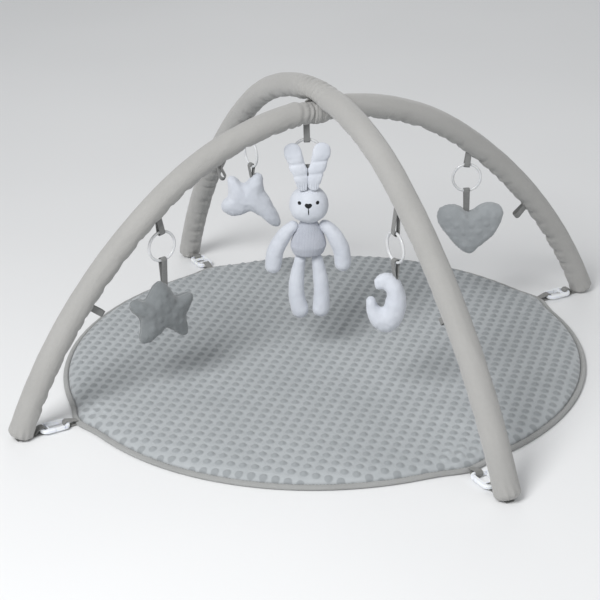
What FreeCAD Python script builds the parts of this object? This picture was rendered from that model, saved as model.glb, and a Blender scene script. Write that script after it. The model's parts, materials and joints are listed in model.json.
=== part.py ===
import FreeCAD, Part

import os
from math import acos, asin, atan2, cos, degrees, hypot, radians, sin, sqrt, tan

V = FreeCAD.Vector

# ---------------------------------------------------------------------------
# A round baby play mat with two crossing arches and hanging soft toys.
# Frame: origin on the floor under the middle of the mat, +Z up, +X along the
# lower arch (towards its right foot), -Y towards the upper arch's front foot.
# All lengths are in millimetres.
# ---------------------------------------------------------------------------

# ---- mat
MAT_RADIUS = 425.0
MAT_THICKNESS = 18.0
BASE_CLOTH = 1.2
BINDING_WIDTH = 9.0
BINDING_HEIGHT = 7.0
PLUSH_PILE = 4.0
GAP = 0.1                      # between pieces that lie against each other

# ---- arches: tangent arcs, a tight one over the crown and an easier one down each leg
FOOT_RADIUS = 526.0            # where the tube's centre line would meet the floor
LOWER_HEIGHT = 425.8           # centre line at the crown
UPPER_HEIGHT = 454.2
CROWN_ANGLE = 36.2             # slope where the crown arc hands over to the leg arc
FOOT_ANGLE = 67.4              # slope at the floor
SLEEVE_RADIUS = 19.15
SLEEVE_CLOTH = 1.0
WAIST_RADIUS = 13.9            # the sleeves are pulled in where the arches cross
WAIST_HALF_LENGTH = 36.0
ROD_RADIUS = 5.0
JOINER_RADIUS = 7.0
JOINER_LENGTH = 90.0
CAP_RADIUS = 7.5
CAP_LENGTH = 18.0
FOOT_END_RADIUS = 30.0         # rounding of the sleeve's closed end
STRAP_CLOTH = 1.4              # webbing thickness
FLOOR_CLEARANCE = STRAP_CLOTH + 0.3

# ---- webbing, rings and hooks
LOOP_WIDTH = 10.0
LOOP_CLOTH = 1.2
BIGHT_RADIUS = 4.6             # middle of the webbing where it turns round a ring
RING_RADIUS = 23.0             # to the middle of the wire
RING_WIRE = 2.2
SPARE_LOOP_LENGTH = 24.0
FOOT_STRAP_WIDTH = 14.0
STRAP_END_X = 531.0            # where the foot strap ends under the foot
CLIP_OUTER_X = 490.0           # centre of the bar that the foot strap holds
CLIP_LENGTH = 47.0
CLIP_WIDTH = 30.0
CLIP_BAR = 6.0
WRAP_EASE = 1.7                # slack of the webbing round a hook's bar
CLIP_Z = STRAP_CLOTH + CLIP_BAR / 2 + WRAP_EASE    # the strap runs under the bar on the floor
GATE_START = 9.0               # gate gap, from the hook's inner end
GATE_LENGTH = 17.0
TAB_WIDTH = 12.0

# ---- hanging toys: place of the ring along its arch, ring centre height, and
# the angle that ring and toy are turned about the vertical from the arch's plane
STAR = dict(arch="lower", along=-273.0, ring_z=259.0, ring_turn=10.0, toy_turn=5.0, lean=-8.0)
HEART = dict(arch="lower", along=276.5, ring_z=260.5, ring_turn=-25.0, toy_turn=-25.0, lean=8.0)
RABBIT = dict(arch="lower", along=-20.0, ring_z=358.5, ring_turn=-27.7, toy_turn=-27.7, lean=0.0)
WHITE_STAR = dict(arch="upper", along=-240.0, ring_z=286.0, ring_turn=0.0, toy_turn=62.0, lean=0.0)
MOON = dict(arch="upper", along=228.0, ring_z=276.0, ring_turn=0.0, toy_turn=62.0, lean=8.0)
HANGING = {"star": STAR, "heart": HEART, "rabbit": RABBIT, "white_star": WHITE_STAR, "moon": MOON}

# ---- outlines of the flat toys in their own plane (x, z) about each toy's middle
PLUSH_CLOTH = 1.4
END_ANGLES = [30.0, 55.0, 74.0]     # where the rounded end of a limb or horn takes its sections
STAR_CENTRE, STAR_DEPTH = (-6.0, 148.0), 36.0
STAR_OUTLINE = [
    (48.1, 3.4), (53.3, 16.1), (51.0, 23.6), (39.5, 25.0), (26.6, 25.3), (19.4, 34.0), (9.3, 47.6),
    (-1.3, 55.7), (-10.8, 51.1), (-20.8, 40.9), (-29.5, 32.7), (-41.0, 35.5), (-51.0, 34.3),
    (-55.9, 27.1), (-53.0, 16.7), (-46.7, 9.6), (-41.5, 0.0), (-41.0, -16.9), (-43.3, -33.0),
    (-41.0, -38.6), (-32.3, -40.7), (-18.0, -33.6), (-0.7, -25.2), (13.6, -31.5), (28.0, -42.5),
    (38.0, -44.9), (40.9, -36.7), (40.4, -19.8), (41.8, -6.2)]
WHITE_STAR_CENTRE, WHITE_STAR_DEPTH = (-10.4, 207.5), 40.0
WHITE_STAR_OUTLINE = [
    (44.7, -15.5), (33.1, 9.3), (30.3, 24.8), (28.8, 37.2), (23.1, 42.8), (11.5, 40.3), (5.8, 34.1),
    (-1.4, 27.3), (-10.1, 27.9), (-20.2, 37.2), (-28.8, 38.4), (-33.1, 34.1), (-33.1, 15.5),
    (-36.0, 0.0), (-44.7, -9.3), (-44.7, -21.7), (-34.6, -31.0), (-20.2, -33.5), (-2.9, -28.5),
    (8.6, -27.3), (25.9, -37.2), (41.8, -52.7), (50.4, -56.4), (57.6, -49.6), (54.8, -37.2)]
HEART_CENTRE, HEART_DEPTH = (6.5, 170.1), 38.0
HEART_OUTLINE = [
    (-4.7, 35.4), (-16.4, 42.1), (-32.0, 45.3), (-45.0, 42.1), (-54.0, 34.0), (-56.0, 23.2),
    (-50.3, 7.0), (-37.2, -11.9), (-21.6, -30.8), (-9.9, -41.6), (-1.3, -44.8), (7.0, -41.6),
    (13.5, -34.0), (30.5, -21.3), (44.8, -3.8), (52.6, 15.1), (56.0, 25.9), (50.0, 38.1),
    (38.3, 44.8), (22.7, 44.8), (9.6, 39.4)]

# ---- the moon: directions and thickness radii along a round arc that is then made narrower
MOON_CENTRE = (-18.6, 190.4)
MOON_ARC_RADIUS = 32.0
MOON_SECTIONS = [(118.0, 8.5), (76.0, 12.5), (34.0, 21.0), (-8.0, 26.5), (-47.0, 24.5), (-87.0, 19.5),
                 (-133.0, 17.5), (-176.0, 11.5)]
MOON_NARROW = 0.6
MOON_FLATTEN = 0.68

# ---- the rabbit: places are from the floor and from its ring's hang line
RABBIT_HEAD = dict(centre=(0.2, 0.0, 274.5), radii=(30.8, 27.0, 31.3))
RABBIT_BODY_TOP, RABBIT_BODY_LOW = 247.0, 187.5
RABBIT_EAR = [(12.5, -15.5, 309.5, 8.5), (17.0, -14.5, 323.0, 12.0), (20.5, -13.5, 343.0, 15.5),
              (20.5, -13.5, 368.0, 15.5)]
RABBIT_ARM = [(33.0, 0.0, 231.0, 10.0), (43.0, 0.0, 216.0, 12.8), (52.5, 0.0, 196.0, 13.5),
              (55.5, 0.0, 173.0, 13.5)]
RABBIT_LEG_LEFT = [(-14.0, 0.0, 176.0, 9.0), (-17.5, 0.0, 150.0, 11.8), (-18.0, -2.0, 122.0, 12.8),
                   (-12.0, -4.0, 96.0, 14.0)]
RABBIT_LEG_RIGHT = [(15.5, 0.0, 176.0, 9.0), (20.0, 0.0, 150.0, 11.8), (22.5, -2.0, 122.0, 12.8),
                    (22.0, -4.0, 97.0, 14.0)]

ARCHES = {"lower": dict(height=LOWER_HEIGHT, turn=0.0), "upper": dict(height=UPPER_HEIGHT, turn=-90.0)}
SPARE_LOOPS = {"lower": (-408.0, 408.0), "upper": (-385.0, 385.0)}
FEET = {"left": 180.0, "right": 0.0, "front": -90.0, "back": 90.0}

NODES = {}


# ---------------------------------------------------------------------------
# helpers
# ---------------------------------------------------------------------------
def turned(shape, degrees_z, about=V(0, 0, 0)):
    """A copy of shape turned about a vertical line."""
    copy = shape.copy()
    copy.rotate(about, V(0, 0, 1), degrees_z)
    return copy


def moved(shape, x, y, z):
    copy = shape.copy()
    copy.translate(V(x, y, z))
    return copy


def group(shapes):
    """Several separate solids as one node."""
    solids = [solid for shape in shapes for solid in shape.Solids]
    return Part.makeCompound(solids)


def revolved(points, arcs=()):
    """A closed outline in the XZ plane spun about Z; arcs maps a segment to its middle point."""
    edges = []
    ends = points[1:] + points[:1]
    for index, (start, end) in enumerate(zip(points, ends)):
        a, b = V(start[0], 0, start[1]), V(end[0], 0, end[1])
        if index in dict(arcs):
            middle = dict(arcs)[index]
            edges.append(Part.Arc(a, V(middle[0], 0, middle[1]), b).toShape())
        else:
            edges.append(Part.LineSegment(a, b).toShape())
    return Part.Face(Part.Wire(edges)).revolve(V(0, 0, 0), V(0, 0, 1), 360)


def band(path_edges, cloth, width):
    """Webbing: a path in the XY plane thickened by cloth and drawn out to width along Z."""
    outline = Part.Wire(path_edges).makeOffset2D(cloth / 2, 0, False, False, False)
    solid = Part.Face(outline).extrude(V(0, 0, width))
    solid.translate(V(0, 0, -width / 2))
    return solid


def stand_up(shape):
    """XY outline drawn along Z becomes an XZ outline drawn along Y."""
    shape.rotate(V(0, 0, 0), V(1, 0, 0), 90)
    return shape


def bight_path(length, radius, root_half):
    """A hanging loop in the XY plane: root at y = length, turned about the origin at the bottom."""
    reach = hypot(root_half, length)
    lean = acos(radius / reach) + atan2(root_half, length)
    side = V(radius * sin(lean), radius * cos(lean), 0)
    left = V(-side.x, side.y, 0)
    edges = [
        Part.LineSegment(V(-root_half, length, 0), left).toShape(),
        Part.Arc(left, V(0, -radius, 0), side).toShape(),
        Part.LineSegment(side, V(root_half, length, 0)).toShape(),
    ]
    return edges


def webbing_loop(length, width, radius=BIGHT_RADIUS, root_half=1.0):
    """A folded loop of webbing, bight at the origin, root up at z = length, width along X."""
    loop = band(bight_path(length, radius, root_half), LOOP_CLOTH, width)
    stand_up(loop)
    loop.rotate(V(0, 0, 0), V(0, 0, 1), 90)
    return loop


def ellipsoid(centre, radii):
    ball = Part.makeSphere(1.0)
    matrix = FreeCAD.Matrix()
    matrix.scale(V(*radii))
    ball = ball.transformGeometry(matrix)
    ball.translate(V(*centre))
    return ball


def closed_curve(points, level, scale):
    """A smooth closed outline at depth level (along -Y), scaled about the origin."""
    curve = Part.BSplineCurve()
    curve.interpolate([V(x * scale, level, z * scale) for x, z in points], PeriodicFlag=True)
    return Part.Wire(curve.toShape())


def puffy(points, depth, skin=0.0):
    """A stuffed shape from a two-panel outline: full size at the seam, smaller towards each face."""
    size = max(hypot(x, z) for x, z in points)
    shrink = (size - skin) / size
    half = depth / 2 - skin
    steps = [-75, -52, -28, 0, 28, 52, 75]
    wires = []
    for step in steps:
        level = half * sin(radians(step)) / sin(radians(75))
        wires.append(closed_curve(points, level, shrink * (0.4 + 0.6 * cos(radians(step)) ** 0.6)))
    return Part.makeLoft(wires, True, True)


def stuffed(name, outer, inner, filling):
    """A sewn cover with its stuffing: the cover is the outer solid less the hollow."""
    NODES[name + "_plush"] = outer.cut(inner)
    NODES[name + "_stuffing"] = filling


# ---------------------------------------------------------------------------
# arches
# ---------------------------------------------------------------------------
def arc_radii(height):
    """Crown and leg radii that make the tangent arcs pass through the crown and the foot."""
    a, b = radians(CROWN_ANGLE), radians(FOOT_ANGLE)
    m11, m12 = sin(a), sin(b) - sin(a)
    m21, m22 = 1 - cos(a), cos(a) - cos(b)
    det = m11 * m22 - m12 * m21
    crown = (FOOT_RADIUS * m22 - m12 * height) / det
    leg = (m11 * height - m21 * FOOT_RADIUS) / det
    return crown, leg


def arch_frame(height):
    crown, leg = arc_radii(height)
    a = radians(CROWN_ANGLE)
    leg_x = (crown - leg) * sin(a)
    leg_z = height - crown * (1 - cos(a)) - leg * cos(a)
    return crown, leg, leg_x, leg_z


def arch_at(height, along):
    """Centre-line height and slope angle of an arch at a distance along its plane."""
    crown, leg, leg_x, leg_z = arch_frame(height)
    side = abs(along)
    if side <= crown * sin(radians(CROWN_ANGLE)):
        slope = asin(side / crown)
        return height - crown * (1 - cos(slope)), slope
    slope = asin((side - leg_x) / leg)
    return leg_z + leg * cos(slope), slope


def arch_path(height, end_angle):
    """The centre line from foot to foot, in the XZ plane, as three tangent arcs."""
    crown, leg, leg_x, leg_z = arch_frame(height)

    def on_crown(angle):
        return V(crown * sin(angle), 0, height - crown + crown * cos(angle))

    def on_leg(angle, sign):
        return V(sign * (leg_x + leg * sin(angle)), 0, leg_z + leg * cos(angle))

    a, b = radians(CROWN_ANGLE), radians(end_angle)
    middle = (a + b) / 2
    return Part.Wire([
        Part.Arc(on_leg(b, -1), on_leg(middle, -1), on_leg(a, -1)).toShape(),
        Part.Arc(on_crown(-a), on_crown(0), on_crown(a)).toShape(),
        Part.Arc(on_leg(a, 1), on_leg(middle, 1), on_leg(b, 1)).toShape(),
    ])


def pipe(path, radius):
    start = path.Edges[0].valueAt(path.Edges[0].FirstParameter)
    direction = path.Edges[0].tangentAt(path.Edges[0].FirstParameter)
    return path.makePipeShell([Part.Wire(Part.makeCircle(radius, start, direction))], True, False)


def waist_cutter(height, radius):
    """What is taken off round the crown so that the tube narrows to radius there."""
    rise = SLEEVE_RADIUS + 0.9 - WAIST_RADIUS
    half = WAIST_HALF_LENGTH
    outside = 3 * SLEEVE_RADIUS
    edges = [
        Part.Arc(V(-half, radius + rise, 0), V(0, radius, 0), V(half, radius + rise, 0)).toShape(),
        Part.LineSegment(V(half, radius + rise, 0), V(half, outside, 0)).toShape(),
        Part.LineSegment(V(half, outside, 0), V(-half, outside, 0)).toShape(),
        Part.LineSegment(V(-half, outside, 0), V(-half, radius + rise, 0)).toShape(),
    ]
    cutter = Part.Face(Part.Wire(edges)).revolve(V(0, 0, 0), V(1, 0, 0), 360)
    cutter.translate(V(0, 0, height))
    return cutter


def foot_x(height, level):
    """Where the leg's centre line passes a level just above the floor."""
    leg, leg_x, leg_z = arch_frame(height)[1:]
    return leg_x + sqrt(leg ** 2 - (level - leg_z) ** 2)


def padded_tube(height, radius, floor):
    """The arch as one closed tube: narrowed at the crossing and rounded off at both feet."""
    tube = pipe(arch_path(height, FOOT_ANGLE + 4), radius)
    tube = tube.cut(waist_cutter(height, radius - SLEEVE_RADIUS + WAIST_RADIUS))
    round_off = FOOT_END_RADIUS - (SLEEVE_RADIUS - radius)
    level = floor + round_off
    wide = 2 * FOOT_RADIUS
    keep = Part.makeBox(wide * 1.5, wide, height, V(-wide * 0.75, -wide / 2, level))
    for sign in (-1, 1):
        keep = keep.fuse(Part.makeSphere(round_off, V(sign * foot_x(height, level), 0, level)))
    return tube.common(keep)


def half_of(shape, sign):
    """The part of an arch on one side of its crown."""
    size = 2 * FOOT_RADIUS
    return shape.common(Part.makeBox(size, size, size, V(0 if sign > 0 else -size, -size / 2, -size / 2)))


def foot_cap(height, sign, radius, length):
    """A round plug on the end of a rod: a short cylinder in line with the leg."""
    level = FLOOR_CLEARANCE + FOOT_END_RADIUS
    slope = arch_at(height, foot_x(height, level))[1]
    down = V(sign * cos(slope), 0, -sin(slope))
    start = V(sign * foot_x(height, level), 0, level) - down * (length - 12)
    return Part.makeCylinder(radius, length, start, down)


def rounded_path(points, radii):
    """Straight runs joined by tangent arcs; radii are for the inner points."""
    edges = []
    last = V(*points[0])
    for index, radius in enumerate(radii):
        corner = V(*points[index + 1])
        before, after = V(*points[index]) - corner, V(*points[index + 2]) - corner
        before.normalize()
        after.normalize()
        half_turn = before.getAngle(after) / 2
        reach = radius / tan(half_turn)
        bisector = before + after
        bisector.normalize()
        middle = corner + bisector * (radius / sin(half_turn) - radius)
        start, end = corner + before * reach, corner + after * reach
        if (start - last).Length > 0.01:
            edges.append(Part.LineSegment(last, start).toShape())
        edges.append(Part.Arc(start, middle, end).toShape())
        last = end
    edges.append(Part.LineSegment(last, V(*points[-1])).toShape())
    return edges


def foot_strap():
    """Webbing sewn under the end of a foot and round the hook's bar (+X foot)."""
    floor_z = STRAP_CLOTH / 2
    wrap = CLIP_BAR / 2 + WRAP_EASE + STRAP_CLOTH / 2
    inside, over = CLIP_OUTER_X - wrap, CLIP_Z + wrap
    points = [(STRAP_END_X, floor_z, 0), (inside, floor_z, 0), (inside, over, 0),
              (CLIP_OUTER_X + 4, over, 0), (CLIP_OUTER_X + 12.5, floor_z + STRAP_CLOTH + 0.3, 0)]
    path = rounded_path(points, [wrap - 0.05, wrap - 0.05, 6.0])
    return stand_up(band(path, STRAP_CLOTH, FOOT_STRAP_WIDTH))


def loop_root(height, along):
    """Point on the underside of the sleeve below the centre line, square to the arch."""
    z, slope = arch_at(height, along)
    sign = 1 if along > 0 else -1
    return V(along - sign * SLEEVE_RADIUS * sin(slope), 0, z - SLEEVE_RADIUS * cos(slope)), sign * slope


def hanging_loop(toy, height):
    """The webbing loop that holds a toy's ring, from the sleeve down to the top of the ring."""
    top_z = toy["ring_z"] + RING_RADIUS
    centre_z = arch_at(height, toy["along"])[0]
    length = centre_z - top_z
    loop = webbing_loop(length, LOOP_WIDTH)
    loop.rotate(V(0, 0, 0), V(0, 1, 0), toy["lean"])
    loop.rotate(V(0, 0, 0), V(0, 0, 1), toy["ring_turn"])
    return moved(loop, toy["along"], 0, top_z)


def spare_loop(height, along):
    """An empty webbing loop standing off the inside of a leg, for another toy."""
    root, slope = loop_root(height, along)
    loop = webbing_loop(SPARE_LOOP_LENGTH, LOOP_WIDTH, radius=5.0, root_half=3.0)
    loop.translate(V(0, 0, -SPARE_LOOP_LENGTH + 6))
    loop.rotate(V(0, 0, 0), V(0, 1, 0), degrees(slope))
    return moved(loop, root.x, 0, root.z)


def make_arch(name):
    height, turn = ARCHES[name]["height"], ARCHES[name]["turn"]
    inner = SLEEVE_RADIUS - SLEEVE_CLOTH
    outer_solid = padded_tube(height, SLEEVE_RADIUS, FLOOR_CLEARANCE)
    sleeve = outer_solid.cut(padded_tube(height, inner, FLOOR_CLEARANCE + SLEEVE_CLOTH))

    end_level = FLOOR_CLEARANCE + FOOT_END_RADIUS
    end_angle = degrees(arch_at(height, foot_x(height, end_level))[1])
    path = arch_path(height, end_angle)
    rod = pipe(path, ROD_RADIUS)
    joiner_keep = Part.makeBox(JOINER_LENGTH, 100, 100, V(-JOINER_LENGTH / 2, -50, height - 50))
    joiner = pipe(path, JOINER_RADIUS).common(joiner_keep)
    filling = padded_tube(height, inner - GAP, FLOOR_CLEARANCE + SLEEVE_CLOTH + GAP)
    filling = filling.cut(pipe(path, ROD_RADIUS + GAP))
    filling = filling.cut(pipe(path, JOINER_RADIUS + GAP).common(joiner_keep))
    caps = []
    for sign in (-1, 1):
        plug = foot_cap(height, sign, CAP_RADIUS, CAP_LENGTH)
        filling = filling.cut(foot_cap(height, sign, CAP_RADIUS + GAP, CAP_LENGTH + GAP))
        caps.append(plug.cut(rod))
    filling = filling.Solids[0] if len(filling.Solids) == 1 else max(filling.Solids, key=lambda s: s.Volume)

    straps = [foot_strap(), turned(foot_strap(), 180)]
    loops = [hanging_loop(toy, height) for toy in HANGING.values() if toy["arch"] == name]
    loops += [spare_loop(height, along) for along in SPARE_LOOPS[name]]
    loops = [loop.cut(outer_solid) for loop in loops]
    loops = [max(loop.Solids, key=lambda solid: solid.BoundBox.ZLength - solid.BoundBox.ZMin)
             for loop in loops]

    pieces = {
        "sleeve": sleeve,
        "foam": filling,
        "rod_joiner": joiner.cut(rod),
        "rod_end_caps": group(caps),
        "foot_straps": group(straps),
        "toy_loops": group(loops),
    }
    ends = {"lower": ("left", "right"), "upper": ("back", "front")}[name]
    for sign, end in zip((-1, 1), ends):
        pieces["rod_" + end] = half_of(rod, sign)
    for piece, shape in pieces.items():
        NODES[name + "_" + piece] = turned(shape, turn)


def make_crossing_band():
    """A gathered cloth band round the lower tube, sewn to the upper one, that ties the arches."""
    half = 13.0
    inside = WAIST_RADIUS + 1.2
    edges = [V(-half, inside, 0), V(half, inside, 0), V(half, inside + 1.6, 0), V(-half, inside + 1.6, 0)]
    ring = Part.Face(Part.makePolygon(edges + edges[:1])).revolve(V(0, 0, 0), V(1, 0, 0), 360)
    ring.translate(V(0, 0, LOWER_HEIGHT))
    upper = turned(padded_tube(UPPER_HEIGHT, SLEEVE_RADIUS, FLOOR_CLEARANCE), -90)
    ring = ring.cut(upper)
    NODES["crossing_band"] = min(ring.Solids, key=lambda solid: solid.BoundBox.ZMin)


# ---------------------------------------------------------------------------
# mat, tabs and hooks
# ---------------------------------------------------------------------------
def make_mat():
    inner = MAT_RADIUS - BINDING_WIDTH
    top = MAT_THICKNESS
    shoulder = inner - 34.0
    edge = BINDING_HEIGHT
    NODES["mat_base_cloth"] = Part.makeCylinder(inner, BASE_CLOTH)
    pad_low = BASE_CLOTH + GAP
    pad_top = top - PLUSH_PILE - GAP
    rim = inner - PLUSH_PILE
    NODES["mat_padding"] = revolved(
        [(0, pad_low), (rim, pad_low), (shoulder, pad_top), (0, pad_top)],
        [(1, ((rim + shoulder) / 2 + 7, (pad_low + pad_top) / 2 + 3))])
    over = PLUSH_PILE
    NODES["mat_plush_top"] = revolved(
        [(0, pad_top + GAP), (shoulder, pad_top + GAP), (rim + GAP, pad_low), (inner, pad_low),
         (inner, edge - 1.5), (shoulder, top), (0, top)],
        [(1, ((rim + shoulder) / 2 + 7 + GAP, (pad_low + pad_top) / 2 + 3 + GAP)),
         (4, ((inner + shoulder) / 2 + 4, (edge + top) / 2 + over * 0.55))])
    NODES["mat_edge_binding"] = revolved(
        [(inner + GAP, 0), (MAT_RADIUS - 3, 0), (MAT_RADIUS - 3, edge), (inner + GAP, edge)],
        [(1, (MAT_RADIUS, edge / 2))])


def mat_tab():
    """Webbing from the mat's edge out round the inner end of a hook (+X foot)."""
    bar = V(CLIP_OUTER_X - CLIP_LENGTH + CLIP_BAR, CLIP_Z, 0)
    wrap = CLIP_BAR / 2 + WRAP_EASE + LOOP_CLOTH / 2
    root = MAT_RADIUS + 0.8
    low = BINDING_HEIGHT / 2
    edges = [
        Part.LineSegment(V(root, low - 0.8, 0), V(bar.x, bar.y - wrap, 0)).toShape(),
        Part.Arc(V(bar.x, bar.y - wrap, 0), V(bar.x + wrap, bar.y, 0), V(bar.x, bar.y + wrap, 0)).toShape(),
        Part.LineSegment(V(bar.x, bar.y + wrap, 0), V(root, low + 0.8, 0)).toShape(),
    ]
    return stand_up(band(edges, LOOP_CLOTH, TAB_WIDTH))


def rounded_rectangle(x0, x1, half_width, radius):
    corner = radius
    face = Part.makePlane(x1 - x0, 2 * half_width, V(x0, -half_width, 0))
    solid = face.extrude(V(0, 0, CLIP_BAR))
    upright = [edge for edge in solid.Edges if abs(edge.tangentAt(edge.FirstParameter).z) > 0.9]
    return solid.makeFillet(corner, upright)


def make_hook(foot, angle):
    """A moulded snap hook: a flat oval ring with an eye bar outside and a sprung gate on one side."""
    inner_x = CLIP_OUTER_X - CLIP_LENGTH + CLIP_BAR / 2
    outer_x = CLIP_OUTER_X + CLIP_BAR / 2
    half = CLIP_WIDTH / 2
    frame = rounded_rectangle(inner_x, outer_x, half, 11.0)
    hole = rounded_rectangle(inner_x + CLIP_BAR, outer_x - CLIP_BAR, half - CLIP_BAR, 1.6)
    frame = frame.cut(hole)
    outer_edges = [edge for edge in frame.Edges
                   if edge.BoundBox.ZLength < 0.01
                   and (edge.BoundBox.XMin < inner_x + 0.01 or edge.BoundBox.XMax > outer_x - 0.01
                        or abs(edge.BoundBox.YMax) > half - 0.01 or abs(edge.BoundBox.YMin) > half - 0.01)]
    frame = frame.makeFillet(1.8, outer_edges)
    cross_x = outer_x - 2 * CLIP_BAR - 2.5
    frame = frame.fuse(Part.makeBox(2.6, CLIP_WIDTH - CLIP_BAR, CLIP_BAR - 2,
                                    V(cross_x, -half + CLIP_BAR / 2, 1)))
    gate_x = inner_x + GATE_START
    slot = Part.makeBox(GATE_LENGTH, CLIP_BAR + 1, CLIP_BAR + 2, V(gate_x, half - CLIP_BAR - 0.5, -1))
    frame = frame.cut(slot).removeSplitter()
    play = 0.4
    gate_half = 2.1
    gate = Part.makeBox(GATE_LENGTH - 2 * play, 2 * gate_half, CLIP_BAR - 1,
                        V(gate_x + play, half - CLIP_BAR / 2 - gate_half, 0.5))
    upright = [edge for edge in gate.Edges if abs(edge.tangentAt(edge.FirstParameter).z) > 0.9]
    gate = gate.makeFillet(gate_half - 0.05, upright)
    lift = CLIP_Z - CLIP_BAR / 2
    NODES["hook_" + foot] = turned(moved(frame, 0, 0, lift), angle)
    NODES["hook_gate_" + foot] = turned(moved(gate, 0, 0, lift), angle)


# ---------------------------------------------------------------------------
# hanging toys
# ---------------------------------------------------------------------------
def hung(shape, toy, turn_name):
    """Put a shape made about its hang line (x = 0, facing -Y) at its place under an arch."""
    placed = turned(shape, toy[turn_name])
    placed = moved(placed, toy["along"], 0, 0)
    return turned(placed, ARCHES[toy["arch"]]["turn"])


def make_ring(name, toy):
    ring = Part.makeTorus(RING_RADIUS, RING_WIRE, V(0, 0, 0), V(0, 1, 0))
    NODES[name + "_ring"] = hung(moved(ring, 0, 0, toy["ring_z"]), toy, "ring_turn")


def toy_strap(toy, bottom_z):
    """The toy's own webbing, turned round the bottom of its ring."""
    hook_z = toy["ring_z"] - RING_RADIUS
    loop = webbing_loop(hook_z - bottom_z, LOOP_WIDTH)
    loop.rotate(V(0, 0, 0), V(1, 0, 0), 180)
    return hung(moved(loop, 0, 0, hook_z), toy, "ring_turn")


def make_outline_toy(name, toy, points, centre, depth):
    """A flat two-panel plush toy on its strap."""
    def solid(skin):
        return hung(moved(puffy(points, depth, skin), centre[0], 0, centre[1]), toy, "toy_turn")

    outer = solid(0.0)
    stuffed(name, outer, solid(PLUSH_CLOTH), solid(PLUSH_CLOTH + 2 * GAP))
    strap = toy_strap(toy, centre[1]).cut(outer)
    NODES[name + "_strap"] = max(strap.Solids, key=lambda piece: piece.BoundBox.ZMax)


def moon_solid(skin):
    """A fat crescent: round sections swelling along an arc, its two horns rounded off."""
    sections = []
    last = len(MOON_SECTIONS) - 1
    for index, (angle, radius) in enumerate(MOON_SECTIONS):
        turn, radius = radians(angle), radius - skin
        along = V(sin(turn), 0, -cos(turn))
        centre = V(MOON_ARC_RADIUS * cos(turn), 0, MOON_ARC_RADIUS * sin(turn))
        end_steps = {0: [-step for step in END_ANGLES[::-1]] + [0], last: [0] + END_ANGLES}
        for step in end_steps.get(index, [0]):
            ring = Part.makeCircle(radius * cos(radians(step)))
            place = centre + along * (radius * sin(radians(step)))
            ring.Placement = FreeCAD.Placement(place, FreeCAD.Rotation(V(0, 1, 0), 180 - angle))
            sections.append(Part.Wire(ring))
    matrix = FreeCAD.Matrix()
    matrix.scale(V(MOON_NARROW, MOON_FLATTEN, 1))
    return Part.makeLoft(sections, True, False).transformGeometry(matrix)


def make_moon(toy):
    def solid(skin):
        return hung(moved(moon_solid(skin), MOON_CENTRE[0], 0, MOON_CENTRE[1]), toy, "toy_turn")

    outer = solid(0.0)
    stuffed("moon", outer, solid(PLUSH_CLOTH), solid(PLUSH_CLOTH + 2 * GAP))
    strap = toy_strap(toy, MOON_CENTRE[1] + 22).cut(outer)
    NODES["moon_strap"] = max(strap.Solids, key=lambda piece: piece.BoundBox.ZMax)


def limb(stations, flatten=1.0):
    """A soft limb lofted through round sections (x, y, z, radius), its two ends rounded off."""
    points = [V(*station[:3]) for station in stations]
    upright = V(0, 0, 1 if points[-1].z > points[0].z else -1)
    last = len(stations) - 1
    sections = []
    for index, station in enumerate(stations):
        along = points[min(index + 1, last)] - points[max(index - 1, 0)]
        along.normalize()
        if index == 0:
            angles = END_ANGLES[::-1] + [0]
        elif index == last:
            angles = [0] + END_ANGLES
        else:
            angles = [0]
        outward = along * (-1 if index == 0 else 1)
        for angle in angles:
            ring = Part.makeCircle(station[3] * cos(radians(angle)))
            centre = points[index] + outward * (station[3] * sin(radians(angle)))
            ring.Placement = FreeCAD.Placement(centre, FreeCAD.Rotation(upright, along))
            sections.append(Part.Wire(ring))
    body = Part.makeLoft(sections, True, False)
    if flatten != 1.0:
        centre_y = sum(point.y for point in points) / len(points)
        matrix = FreeCAD.Matrix()
        matrix.scale(V(1, flatten, 1))
        body.translate(V(0, -centre_y, 0))
        body = body.transformGeometry(matrix)
        body.translate(V(0, centre_y, 0))
    return body


def rabbit_body_solid(skin):
    """A pear: narrow under the head and full round the seat."""
    top, low = RABBIT_BODY_TOP - skin, RABBIT_BODY_LOW + skin
    neck, waist = 15.5 - skin, 28.5 - skin
    edges = [
        Part.LineSegment(V(0, 0, top), V(neck, 0, top)).toShape(),
        Part.Arc(V(neck, 0, top), V(waist - 6.0, 0, 228), V(waist, 0, 207)).toShape(),
        Part.Arc(V(waist, 0, 207), V(waist - 6, 0, low + 5), V(waist - 17, 0, low)).toShape(),
        Part.LineSegment(V(waist - 17, 0, low), V(0, 0, low)).toShape(),
        Part.LineSegment(V(0, 0, low), V(0, 0, top)).toShape(),
    ]
    body = Part.Face(Part.Wire(edges)).revolve(V(0, 0, 0), V(0, 0, 1), 360)
    matrix = FreeCAD.Matrix()
    matrix.scale(V(1, 0.82, 1))
    return body.transformGeometry(matrix)


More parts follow.
